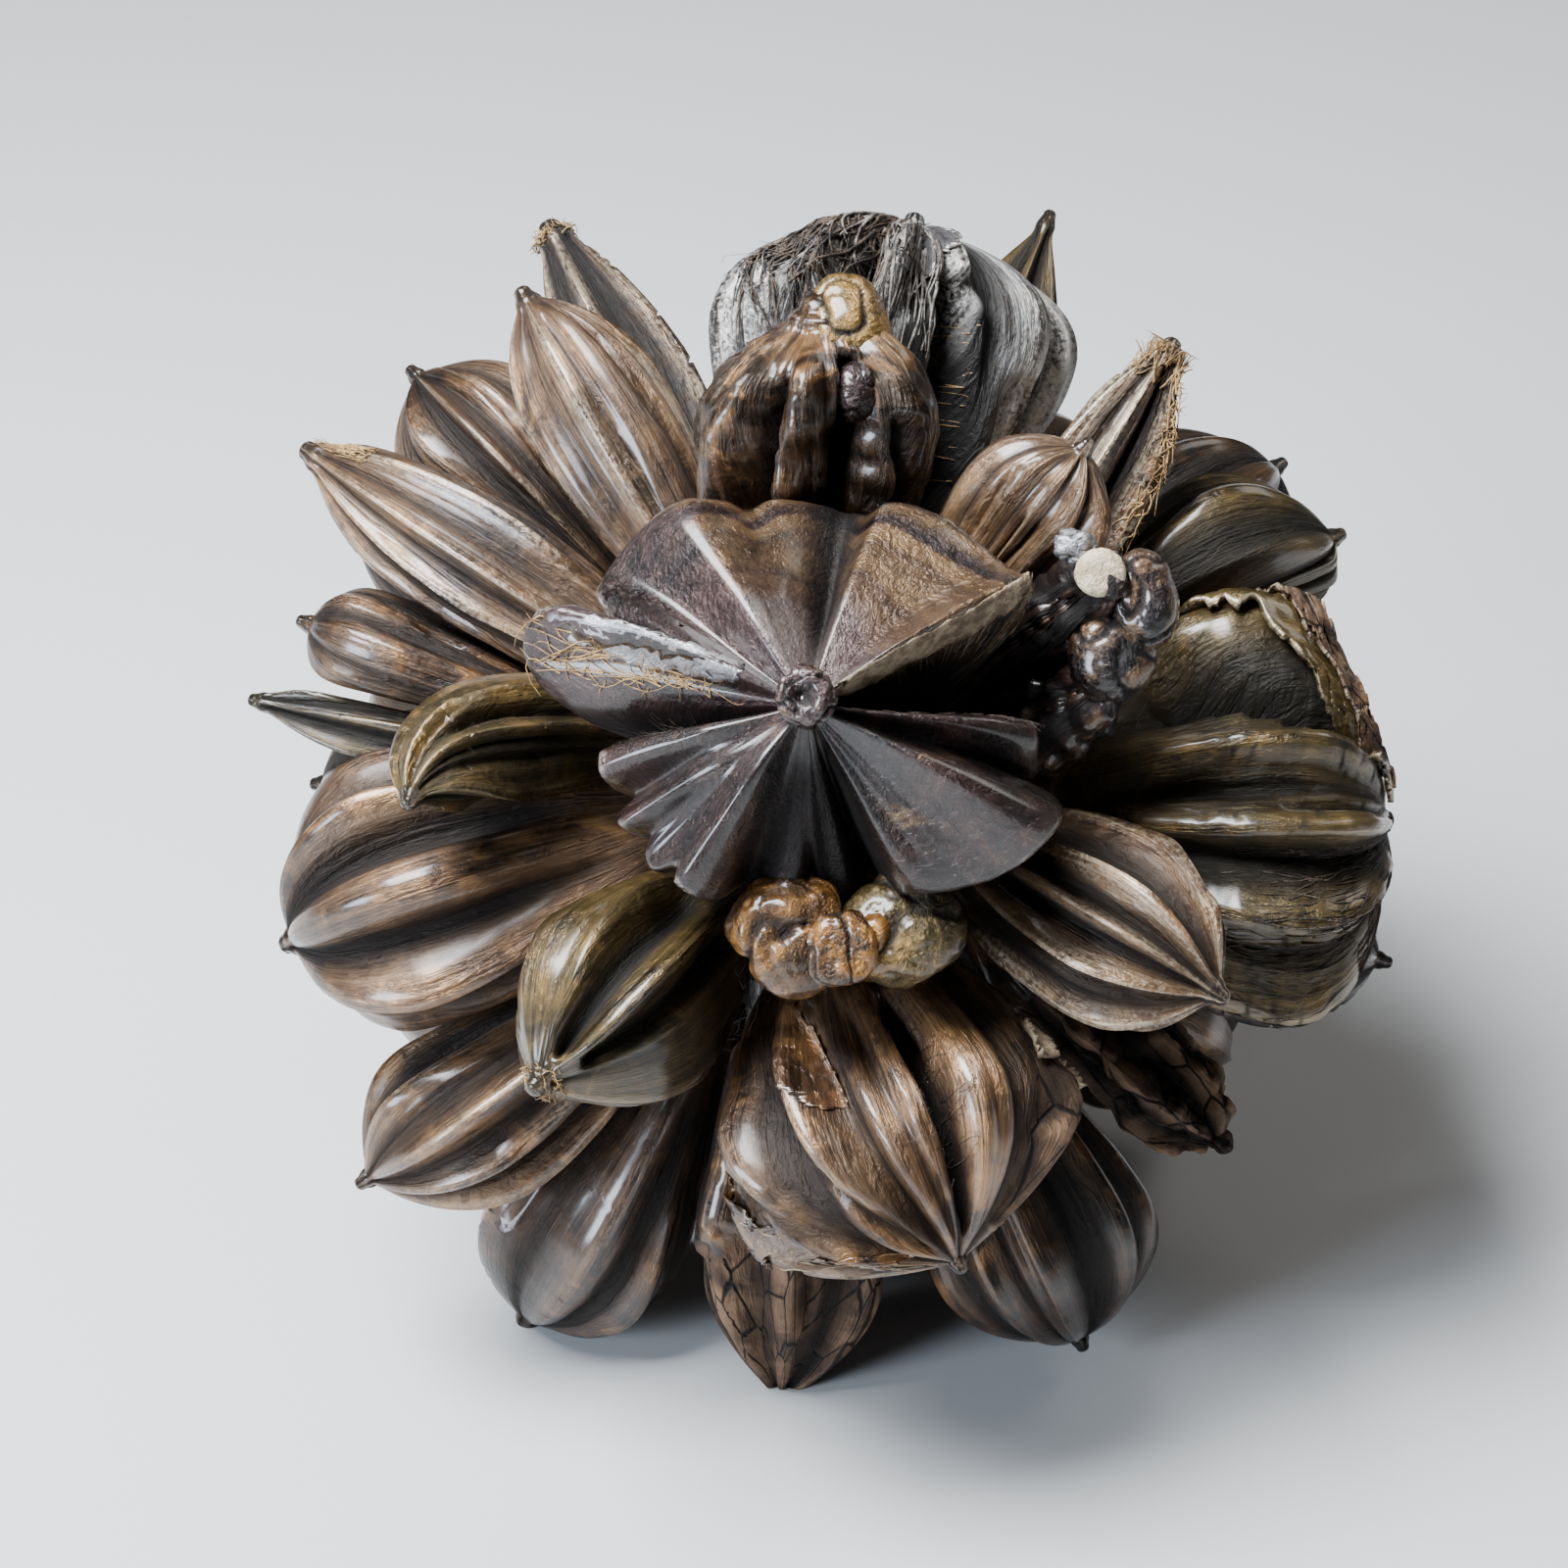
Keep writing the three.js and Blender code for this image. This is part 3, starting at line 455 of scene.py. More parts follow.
def stalkBody():
    along = np.array(head["stalkPlaces"])[:, None]
    spine = middle - toPole * blend(head["coreRadius"], head["stalkReach"], along)
    angle = np.arange(head["stalkSides"])[:, None] * math.pi / (head["stalkSides"] / 2)
    ring = head["stalkRadius"] * (np.cos(angle) * toRight + np.sin(angle) * toTop)
    corners = (spine[:, None] + ring).reshape(-1, 3)
    return {"corners": corners, "spine": spine, "hold": 1000, "walls": []}


def pushedInside(points, ways, levels):
    for _ in range(press["pushRounds"]):
        for way, level in zip(ways, levels):
            over = np.maximum(0, points @ way - (level - press["leastRadius"]))
            points = points - over[:, None] * way
    return points


# the pushed axis at each place along it, with the two ways across it and the way on
def axisPlaces(body, along):
    places, back = np.unique(along, return_inverse=True)
    places = places[:, None]
    first, second, tangent = axisFrame(body["curve"], places)
    centre = axisPoint(body["curve"], places)
    moved = pushedInside(centre, body["ways"], body["levels"])
    centre = np.where(places > 1e-6, moved, centre)
    return [part[back.reshape(-1)] for part in (centre, first, second, tangent)]


# how far out the skin lies where the neighbours' walls press on it
def pressedRadius(body, centre, way, radius):
    power, least = press["softness"], press["leastRoom"]
    soft = np.maximum(radius, least) ** -power
    for wallWay, level in zip(body["ways"], body["levels"]):
        lean = way @ wallWay
        room = np.maximum(least, level - centre @ wallWay) / np.maximum(lean, press["leastLean"])
        soft = soft + np.where(lean > press["leastLean"], room ** -power, 0)
    return soft ** (-1 / power)


# The finer relief, which the CAD source leaves out. Pairs are a least value and what a draw adds,
# or the start and end of a stretch of the axis.
skinSet = {
    "lean": (0.65, 0.9),          # to which side of its two crests a valley leans
    "openFrom": (0.12, 0.4),      # the relief grows over this stretch
    "openTo": (0.93, 0.985),      # and fades over this one
    "smallDents": (0.4, 0.45),    # their share, and their size beside the broad ones
    "keelWidth": 1.1,
    "furrowWidth": 0.7,
    # painted shade along the furrow in each valley
    "furrowShade": 0.9,
    "leastRadius": 0.6,
}

wrinkleSet = {
    "layers": 8,
    "waves": (7, 38, 1.3),        # least count round the fruit, how many more, and how seldom
    "bend": (2, 5),
    "turn": 6.28,
    "slope": 1.2,
    "sharp": 0.7,
    "calm": 0.05,                 # the more waves, the lower they are
    "height": 1 / 3,
}

# Long shallow creases, different on each fruit.
creaseSet = {
    "firstDraw": 300,
    "start": (0.12, 0.45),
    "bend": 30,
    "spread": (3.5, 4),
    "height": (-2.1, 1.5),
    "length": (0.3, 0.4),
    "end": 0.97,
}

foldSet = {
    "wander": (3, 28),            # how many degrees a fold strays, and over what length
    "grows": 0.12,
    "fades": 0.08,
    "shadeFrom": 5,                # a fold this deep gets the full painted shade
    "deepestShade": 1.6,
}

bareSet = {
    "torn": ((0.045, 9), (0.03, 3.5)),  # how ragged the edge is, and over what length
    "sideways": 5,
    "step": 0.008,
    "side": (0.95, 1.05),
}

starRelief = {
    "calmed": 40,                 # degrees over which the rim's outline is evened out at the nub
    "calmSteps": 9,
    "calmTo": (0.3, 0.95),
    # clock bearing and height in millimetres of the broad pleats, which start at the nub
    "pleats": [(-49, 1), (-47, 1), (-31, 8), (-28, 7.5), (-16, 2), (-4, -4), (4, -10),
               (9, -13), (11, -9), (12.5, 1), (15, 4), (24, 3), (44, 3), (54, 9), (58, 13),
               (60, 12), (62, -1), (66, -9), (72, -18), (78, -30), (82, -30), (85, -10), (88, 2),
               (93, 4), (97, 1), (100, -6), (102, -6), (105, 1), (112, 9), (118, 8), (126, 3),
               (138, 0), (148, -1), (151, -2), (153, -12), (156, -22), (160, -22), (163, -11),
               (170, -9), (181, -8), (194, -8), (205, -6), (212, 2), (218, 7), (226, 6), (238, 3),
               (250, 3), (260, 6), (266, 2), (269, -12), (272, -14), (275, -5), (282, -1),
               (289.5, 0), (291, 3), (294, 8), (299, 8), (305, 3), (309, 0)],
    "pleatsFrom": (0.02, 0.5),
    # the finer ones, which start further out
    "creases": [(-49, 0), (166, 0), (172, -3), (174, -6), (178, 1), (188, 2), (196, 0), (200, -6),
                (205, 0), (213, 2), (222, 0), (229, -6), (233, -5), (240, 4), (245, 0), (249, -6),
                (254, 0), (261, 2), (266, 0)],
    "creasesFrom": (0.25, 0.85),
    "rounded": 3.2,               # degrees over which a pleat's edge is rounded
    "roundedSteps": 5,
    "wander": (2.2, 26),          # how many degrees a pleat strays, and over what length
    "sag": (2.2, 22),             # the soft dents of the broad faces, and their size
    "sagFrom": (0.2, 0.6),
    "under": (-0.02, 0.2),        # the pleats end under the rim over this stretch
    # painted shade under the rim, where the pleats turn under
    "shadeUnder": (0.0, 0.12),
    "shadeFrom": 10,               # a valley this deep gets the full painted shade
    "wornHeight": 6,              # a pleat this high is worn
    "wornRim": (0.85, 0.98),
    "wornMost": 4,
    "banded": (-34, 58),          # the bearings between which the tan bands and the painted sheen near the nub show
    "bandEdges": (6, 2),
    # painted silver sheen: the upper lobes lighter towards the nub
    "nubSheen": (0.6, 0.8, 0.92),
    "bandFade": (0.05, 0.82, 0.9),
}


def wrinklesAt(seed, along, angle):
    least, more, seldom = wrinkleSet["waves"]
    (bend, bendMore), turn = wrinkleSet["bend"], wrinkleSet["turn"]
    total = 0
    for count in range(wrinkleSet["layers"]):
        waves = round(least + more * draw(seed, 60 + count) ** seldom)
        winding = (bend + bendMore * draw(seed, 70 + count)) * along + turn * draw(seed, 80 + count)
        slope = wrinkleSet["slope"] * np.sin(winding)
        wave = np.sin(waves * angle + slope + turn * draw(seed, 90 + count))
        total = total + (1 - 2 * np.abs(wave) ** wrinkleSet["sharp"]) / (
            1 + wrinkleSet["calm"] * waves)
    return total * wrinkleSet["height"]


# how far out from its middle one of the star's places lies: 0 at the nub, 1 at the rim
def outFromNub(fruit, along):
    return np.clip((1 - along) / (1 - fruit["wide"]), 0, 1)


# the star's outline as a smooth curve through its crests, evened out towards the nub
def outlineHeight(body, along, angle, count, part):
    heights, total = body["crests"]["height"], len(body["crests"]["height"])
    before, after, later = (count - 1) % total, (count + 1) % total, (count + 2) % total
    rise = (heights[after] - heights[before]) / 2
    riseOn = (heights[later] - heights[count]) / 2
    square, cube = part ** 2, part ** 3
    height = ((2 * cube - 3 * square + 1) * heights[count] + (cube - 2 * square + part) * rise
              + (3 * square - 2 * cube) * heights[after] + (cube - square) * riseOn)
    calm, steps = 0, starRelief["calmSteps"]
    for away in np.linspace(-1, 1, steps) * math.radians(starRelief["calmed"]):
        calm = calm + np.interp(angle + away, body["crests"]["angle"], heights,
                                period=2 * math.pi) / steps
    out = outFromNub(body["fruit"], along)
    return blend(calm, height, ramp(out, *starRelief["calmTo"]))


def looseSkin(body, along, step):
    fruit, crests = body["fruit"], body["crests"]
    total = len(crests["angle"])
    step = step % total
    count = np.floor(step + 1e-6).astype(int) % total
    part = np.clip(step - count, 0, 1)
    after = (count + 1) % total
    turn = np.where(after == 0, 2 * np.pi, 0)
    rooted = ramp(along, *head["rooted"])
    height = blend(crests["height"][count], crests["height"][after], part)
    angle = blend(crests["angle"][count], crests["angle"][after] + turn, part)
    if "outline" in fruit:
        height = outlineHeight(body, along, angle, count, part)
    height = blend(height, 1, (1 - rooted) * head["rootEvened"])
    (lean, leanMore), (least, more) = skinSet["lean"], head["cutJitter"]
    lean = lean + leanMore * draw(fruit["seed"], count + 100)
    sharp = fruit["crest"] * (least + more * draw(fruit["seed"], count + 200))
    valley = np.sin(np.pi * part ** lean) ** sharp
    small = np.cos(2 * np.pi * part * fruit["minor"]) * 0.5
    groove = crests["cut"][count] * valley * fruit["evened"]
    fine = fruit["minorCut"] * (0.5 - small) * np.minimum(1, 3 * np.minimum(part, 1 - part))
    cut = (groove + fine) * rooted
    across = ovalAt(fruit, angle) * height * widthAlong(fruit, along) * (1 - cut)
    radius = np.hypot(across, nubAlong(fruit, along))
    # how deep in its valley: this sets the grooves' painted shade
    depth = np.clip(cut / (fruit["cut"] + fruit["minorCut"]), 0, 1)
    edge = np.minimum(part, 1 - part) * 2
    return angle, radius, depth, edge * rooted + (1 - rooted)


def creasesOf(fruit):
    creases = []
    for count in range(fruit["creases"]):
        around, early, broad, high, long = (
            draw(fruit["seed"], creaseSet["firstDraw"] + 10 * count + part) for part in range(5))
        start, spread, height, length = (
            creaseSet[key][0] + creaseSet[key][1] * share
            for key, share in (("start", early), ("spread", broad), ("height", high), ("length", long)))
        place = 360 * around
        creases.append((place, place + creaseSet["bend"] * (early - 0.5), spread, height,
                        start, min(creaseSet["end"], start + length)))
    return creases


# extra ridges and valleys: bearing at the start and end, half width in degrees, height, start, end
def foldsAt(fruit, along, angle, points):
    relief, hollow = 0, 0
    degrees, length = foldSet["wander"]
    wander = degrees * softNoise(points, length, fruit["seed"] + 9)
    for early, late, spread, height, start, end in list(fruit["folds"]) + creasesOf(fruit):
        place = blend(early, late, np.clip((along - start) / (end - start), 0, 1))
        away = np.abs((np.degrees(angle) + wander - place + 180) % 360 - 180) / spread
        bump = np.cos(np.pi / 2 * np.clip(away, 0, 1))
        bump = bump * ramp(along, start, start + foldSet["grows"])
        bump = bump * (1 - ramp(along, end - foldSet["fades"], end))
        relief = relief + height * bump
        # painted shade in the deeper folds and creases
        dark = np.clip(-height / foldSet["shadeFrom"], 0, foldSet["deepestShade"])
        hollow = np.maximum(hollow, bump * dark)
    return relief, hollow


# where the outer skin has broken off and the cracked woody layer shows
def bareAt(fruit, along, angle, points):
    share = np.zeros(len(along))
    torn = 0
    for count, (amount, size) in enumerate(bareSet["torn"]):
        torn = torn + amount * softNoise(points, size, fruit["seed"] + 11 + count)
    edge = bareSet["step"]
    for start, end, early, late, spread in fruit["bare"]:
        place = blend(early, late, np.clip((along - start) / (end - start), 0, 1))
        away = degreesAway(angle, place) / spread + bareSet["sideways"] * torn
        inside = ramp(along + torn, start - edge, start + edge)
        inside = inside * (1 - ramp(away, *bareSet["side"]))
        share = np.maximum(share, inside * (1 - ramp(along + torn, end - edge, end + edge)))
    return share


# the star's pleats rise and fall along its axis, not away from it
def pleatStar(fruit, points, along, angle, tangent):
    degrees, length = starRelief["wander"]
    clock = np.degrees(angle) + degrees * softNoise(points, length, 3)
    pleats, creases = np.array(starRelief["pleats"]), np.array(starRelief["creases"])
    out = outFromNub(fruit, along)
    later = ramp(out, *starRelief["creasesFrom"])
    rise, steps = 0, starRelief["roundedSteps"]
    for away in np.linspace(-1, 1, steps) * starRelief["rounded"]:
        rise = rise + np.interp(clock + away, pleats[:, 0], pleats[:, 1], period=360) / steps
        rise = rise + later / steps * np.interp(clock + away, creases[:, 0], creases[:, 1],
                                                period=360)
    toRim = fruit["wide"] - along
    under = 1 - ramp(toRim, *starRelief["under"])
    sagged, size = starRelief["sag"]
    sag = sagged * softNoise(points, size, 5) * ramp(out, *starRelief["sagFrom"])
    share = ramp(out, *starRelief["pleatsFrom"]) * under
    points = points + tangent * ((rise + sag) * share)[:, None]
    # painted shade in the deep valleys and under the rim
    depth = np.clip(-rise / starRelief["shadeFrom"], 0, 1) * ramp(out, 0.05, 0.4)
    depth = np.maximum(depth, ramp(toRim, *starRelief["shadeUnder"]))
    worn = np.clip(rise / starRelief["wornHeight"], 0, 1) * ramp(out, *starRelief["wornRim"])
    return points, depth, 1 - worn * starRelief["wornMost"]


# the skin at each place along and round a fruit, and how deep in a groove that place is, which sets the
# painted shade of its hollows
def skinPoints(body, along, step, lift=0.0):
    fruit = body["fruit"]
    angle, radius, depth, edge = looseSkin(body, along, step)
    centre, first, second, tangent = axisPlaces(body, along)
    way = first * np.cos(angle)[:, None] + second * np.sin(angle)[:, None]
    radius = pressedRadius(body, centre, way, radius)
    points = centre + way * radius[:, None]
    free = ramp(along, *skinSet["openFrom"]) * (1 - ramp(along, *skinSet["openTo"]))
    relief = fruit["wrinkle"] * wrinklesAt(fruit["seed"], along, angle)
    share, size = skinSet["smallDents"]
    dent = softNoise(points, fruit["dentSize"], fruit["seed"]) * (1 - share)
    dent = dent + share * softNoise(points, fruit["dentSize"] * size, fruit["seed"] + 3)
    relief = relief - fruit["dent"] * (0.5 + 0.5 * dent)
    width = radius * 2 * np.pi / len(body["crests"]["angle"])
    keel = np.exp(-(edge * width / 2 / skinSet["keelWidth"]) ** 2)
    relief = relief + fruit["keel"] * keel
    folds, dark = foldsAt(fruit, along, angle, points)
    relief = relief + folds - fruit["bareStep"] * bareAt(fruit, along, angle, points)
    depth = np.maximum(depth, dark)
    furrow = np.exp(-((1 - edge) * width / 2 / skinSet["furrowWidth"]) ** 2)
    relief = relief - fruit["furrow"] * furrow
    # painted shade along each valley's furrow
    depth = np.maximum(depth, skinSet["furrowShade"] * furrow * free)
    relief = np.maximum(relief * free, skinSet["leastRadius"] - radius)
    points = points + way * (relief + lift)[:, None]
    if "outline" in fruit:
        points, depth, edge = pleatStar(fruit, points, along, angle, tangent)
    return points, angle, depth, edge, centre, tangent


def readPoints(mesh, label="co"):
    places = np.empty(len(mesh.vertices) * 3)
    mesh.vertices.foreach_get(label, places)
    return places.reshape(-1, 3)


def movePoints(mesh, points):
    mesh.vertices.foreach_set("co", np.ravel(points / 1000))
    mesh.update()


# the masks and the grain that the husk's materials read, as attributes
def storeMasks(mesh, grain, **masks):
    for name, values in masks.items():
        layer = mesh.attributes.new(name, "FLOAT", "POINT")
        values = np.broadcast_to(np.asarray(values, float), len(mesh.vertices))
        layer.data.foreach_set("value", np.ravel(values))
    layer = mesh.attributes.new("grain", "FLOAT_VECTOR", "POINT")
    layer.data.foreach_set("vector", np.ravel(grain))


# a closed ball of rows and columns, to be moved by a formula
def ballMesh(name, columns, rows):
    form = bmesh.new()
    bmesh.ops.create_uvsphere(form, u_segments=columns, v_segments=rows, radius=1)
    mesh = bpy.data.meshes.new(name)
    form.to_mesh(mesh)
    form.free()
    return mesh, readPoints(mesh)


def rowOf(ball, rows):
    return np.rint(np.arccos(np.clip(ball[:, 2], -1, 1)) / math.pi * rows)


# the lowest fruits are worn flat where the head stands
def wearFlat(mesh):
    if readPoints(mesh)[:, 2].min() >= 0:
        return
    form = bmesh.new()
    form.from_mesh(mesh)
    everything = form.verts[:] + form.edges[:] + form.faces[:]
    cut = bmesh.ops.bisect_plane(form, geom=everything, dist=1e-6, plane_co=(0, 0, 0),
                                 plane_no=(0, 0, -1), clear_outer=True)["geom_cut"]
    edges = [part for part in cut if isinstance(part, bmesh.types.BMEdge)]
    bmesh.ops.triangle_fill(form, edges=edges, use_beauty=True, normal=(0, 0, -1))
    bmesh.ops.recalc_face_normals(form, faces=form.faces[:])
    form.to_mesh(mesh)
    form.free()


def finishPiece(mesh, name, skin, nodes=()):
    wearFlat(mesh)
    mesh.shade_smooth()
    mesh.materials.append(skins[skin]["material"])
    piece = bpy.data.objects.new(name, mesh)
    bpy.context.scene.collection.objects.link(piece)
    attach(piece, "root")
    if nodes:
        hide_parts(*nodes)
    return piece


# where the streaks lie: along a fruit, apart on each, and flat on the star's broad faces
def grainOf(body, angle, along):
    fruit = body["fruit"]
    girth = sum(fruit["half"]) / 2
    if "outline" in fruit:
        out = outFromNub(fruit, along) * girth
        return np.stack((out * np.cos(angle), out * np.sin(angle), along * 20), axis=-1) / 1000
    spot = fruit["seed"] * 31.7
    return np.stack((girth * np.cos(angle) + spot, girth * np.sin(angle) + spot,
                     along * body["length"]), axis=-1) / 1000


# tone and bands of the star: tan bands on the upper lobes, fading towards the nub, where those lobes
# are painted lighter as a painted silver sheen
def starBands(angle, along, tone):
    clock = (np.degrees(angle) + 180) % 360 - 180
    (early, late), (soft, crisp) = starRelief["banded"], starRelief["bandEdges"]
    bands = ramp(clock, early, early + soft) * (1 - ramp(clock, late - crisp, late))
    # painted sheen: lighter towards the nub on the upper lobes
    amount, start, end = starRelief["nubSheen"]
    tone = tone + amount * bands * ramp(along, start, end)
    least, start, end = starRelief["bandFade"]
    return tone, least + bands * (1 - ramp(along, start, end))


# lumps swell the whole skin of a stunted or gnarled fruit
lumpSet = {"fine": 0.35, "fineSize": 2.3, "height": 2.4, "sunk": 0.6, "grows": (0.2, 0.5),
           "deepestShade": 0.8}


def swellLumps(mesh, fruit, points, along, depth):
    normals, size = readPoints(mesh, "normal"), fruit["lumpSize"]
    lump = np.abs(softNoise(points, size, 7))
    lump = lump + lumpSet["fine"] * np.abs(softNoise(points, size / lumpSet["fineSize"], 8))
    lump = lumpSet["height"] * lump - lumpSet["sunk"]
    lump = lump * fruit["lumps"] * ramp(along, *lumpSet["grows"])
    points = points + normals * lump[:, None]
    movePoints(mesh, points)
    # painted shade in the dips between the lumps
    return points, np.maximum(depth, np.clip(-2 * lump / fruit["lumps"], 0, lumpSet["deepestShade"]))


def facesOf(body):
    fruit, total = body["fruit"], len(body["crests"]["angle"])
    if "outline" in fruit:
        return detail["starColumns"], detail["starRows"]
    if fruit["hidden"]:
        return total * detail["hiddenColumns"], detail["fewRows"]
    many = total > detail["manyRibs"]
    return total * detail["fewColumns" if many else "ribColumns"], detail["rows"]


def makeFruit(body):
    fruit, total = body["fruit"], len(body["crests"]["angle"])
    label = fruit["name"].replace("fruit_", "husk_").replace("stunted_", "husk_stunted_")
    columns, rows = facesOf(body)
    mesh, ball = ballMesh(label, columns, rows)
    row = rowOf(ball, rows)
    column = np.rint(-np.arctan2(ball[:, 1], ball[:, 0]) / (2 * math.pi) * columns) % columns
    cap = detail["capRows"]
    along = 1 - (np.maximum(0, row - cap) / (rows - cap)) ** detail["rowCrowding"]
    step = column / columns * total
    points, angle, depth, edge, centre, tangent = skinPoints(body, along, step)
    rounding = np.clip(row / cap, 0, 1) * math.pi / 2
    nub = np.linalg.norm(points - centre, axis=-1)[row == cap].mean()
    domed = centre + (points - centre) * np.sin(rounding)[:, None]
    domed = domed + tangent * (nub * fruit["capRise"] * np.cos(rounding))[:, None]
    points = np.where((row < cap)[:, None], domed, points)
    points = np.where((row == rows)[:, None], centre, points)
    movePoints(mesh, points)
    if fruit["lumps"]:
        points, depth = swellLumps(mesh, fruit, points, along, depth)
    tone, bands = fruit["tone"], fruit["bands"]
    if "outline" in fruit:
        tone, bands = starBands(angle, along, tone)
    # hollow carries the painted shade of the valleys, folds and lumps, and also dulls them
    storeMasks(mesh, grainOf(body, angle, along), hollow=depth, crest=(1 - edge) * fruit["wear"],
               along=along, tone=tone,
               gold=fruit["gold"] + fruit["tipGold"] * ramp(along, 0.75, 0.9),
               bare=bareAt(fruit, along, angle, points), bands=bands)
    finishPiece(mesh, label, fruit["skin"], [fruit["name"]])


# Materials. Small helpers first: a socket takes another socket or a plain value.


def addNode(tree, kind, **values):
    node = tree.nodes.new(kind)
    for name, value in values.items():
        setattr(node, name, value)
    return node


def feed(tree, socket, value):
    if isinstance(value, bpy.types.NodeSocket):
        tree.links.new(value, socket)
    elif value is not None:
        socket.default_value = value


def mathNode(tree, operation, *values, clamp=False):
    node = addNode(tree, "ShaderNodeMath", operation=operation, use_clamp=clamp)
    for socket, value in zip(node.inputs, values):
        feed(tree, socket, value)
    return node.outputs[0]


def times(tree, one, two):
    return mathNode(tree, "MULTIPLY", one, two)


# one times two, plus three
def timesPlus(tree, one, two, three, clamp=False):
    return mathNode(tree, "MULTIPLY_ADD", one, two, three, clamp=clamp)


def mixColour(tree, share, one, two):
    node = addNode(tree, "ShaderNodeMix", data_type="RGBA")
    feed(tree, node.inputs["Factor"], share)
    feed(tree, node.inputs["A"], one)
    feed(tree, node.inputs["B"], two)
    return node.outputs["Result"]


def rampNode(tree, value, low, high, least=0.0, most=1.0):
    node = addNode(tree, "ShaderNodeMapRange", interpolation_type="SMOOTHSTEP")
    for name, number in (("Value", value), ("From Min", low), ("From Max", high),
                         ("To Min", least), ("To Max", most)):
        feed(tree, node.inputs[name], number)
    return node.outputs["Result"]


def stretched(tree, vector, stretch):
    node = addNode(tree, "ShaderNodeMapping", vector_type="POINT")
    feed(tree, node.inputs["Vector"], vector)
    node.inputs["Scale"].default_value = (1, 1, stretch)
    return node.outputs["Vector"]


def noiseNode(tree, vector, scale, octaves, rough=0.55, distortion=0.0, stretch=None):
    if stretch:
        vector = stretched(tree, vector, stretch)
    node = addNode(tree, "ShaderNodeTexNoise")
    for name, number in (("Vector", vector), ("Scale", scale), ("Detail", octaves),
                         ("Roughness", rough), ("Distortion", distortion)):
        feed(tree, node.inputs[name], number)
    return node.outputs["Fac"]


def newGroup(name, inputs, outputs):
    group = bpy.data.node_groups.new(name, "ShaderNodeTree")
    for label, kind, value in inputs:
        socket = group.interface.new_socket(name=label, in_out="INPUT", socket_type=kind)
        if value is not None:
            socket.default_value = value
    for label, kind in outputs:
        group.interface.new_socket(name=label, in_out="OUTPUT", socket_type=kind)
    return (group, addNode(group, "NodeGroupInput").outputs,
            addNode(group, "NodeGroupOutput").inputs)


# a new material with its tree, its shader and the place on the object
def newMaterial(name):
    material = bpy.data.materials.new(name)
    material.use_nodes = True
    tree = material.node_tree
    place = addNode(tree, "ShaderNodeTexCoord").outputs["Object"]
    return material, tree, tree.nodes["Principled BSDF"], place


def addBump(tree, shader, height, distance):
    bump = addNode(tree, "ShaderNodeBump")
    bump.inputs["Strength"].default_value = 1.0
    bump.inputs["Distance"].default_value = distance
    feed(tree, bump.inputs["Height"], height)
    feed(tree, shader.inputs["Normal"], bump.outputs["Normal"])


# The waxed husk. Noises first, then what each adds, then the ranges over which a mask comes in.
huskNoise = {
    "streak": dict(scale=460, octaves=5, rough=0.6, distortion=0.4, stretch=0.06),
    "fibre": dict(scale=1500, octaves=3, rough=0.6, stretch=0.035),
    "crinkle": dict(scale=420, octaves=4, rough=0.6, distortion=1.6, stretch=0.3),
    "broad": dict(scale=30, octaves=3, rough=0.5),
    "blotch": dict(scale=75, octaves=6, rough=0.65, distortion=0.8),
    "speck": dict(scale=900, octaves=3, rough=0.7),
}
huskShare = {
    "tone": {"streak": 1.6, "broad": 1.3, "blotch": 0.9, "fibre": 0.5},
    "height": {"streak": 0.7, "fibre": 0.3, "crinkle": 0.6, "speck": 0.06, "blotch": 0.35,
               "crack": -0.7},
    "rough": {"least": 0.16, "blotch": 0.26, "hollow": 0.35, "bare": 0.35, "worn": 0.25},
    "ringWander": 0.1, "goldPatch": 0.3, "patch": 0.75, "wood": 0.9, "shadeStreak": 0.35,
    "crackWander": 0.05, "tipped": 0.6,
}
huskRange = {
    "mid": (0.1, 0.55), "light": (0.5, 1.0),
    "ring": (0.4, 0.62), "ringMottle": (0.3, 0.6, 0.3, 0.75), "patch": (0.62, 0.78),
    "crack": (0.03, 0.07, 1.0, 0.0), "wood": (0.35, 0.65),
    # shade and black: the ranges of the painted shade in the hollows
    "shade": (0.25, 1.15, 0.0, 0.92), "black": (0.7, 1.3, 0.0, 0.9),
    "crest": (0.3, 0.8), "rub": (0.85, 1.2), "tip": (0.94, 0.985), "tipRub": (0.55, 0.7, 0.0, 0.5),
    "dull": (0.2, 0.9), "gloss": (0.0, 1.0, 0.85, 0.0),
}
huskRing = {"scale": 17, "octaves": 2, "rough": 0.5}
huskPlates = {"scale": 135, "stretch": 0.45}
# crack is the colour of the cracks in the wood, and also paints the deepest hollows nearly black as
# painted shade
huskWood = {"dark": (0.055, 0.030, 0.018, 1), "light": (0.24, 0.145, 0.085, 1),
            "crack": (0.004, 0.003, 0.0025, 1)}
huskShine = {"bump": 0.0013, "metal": 0.6, "specular": 0.7, "coatRough": 0.18}
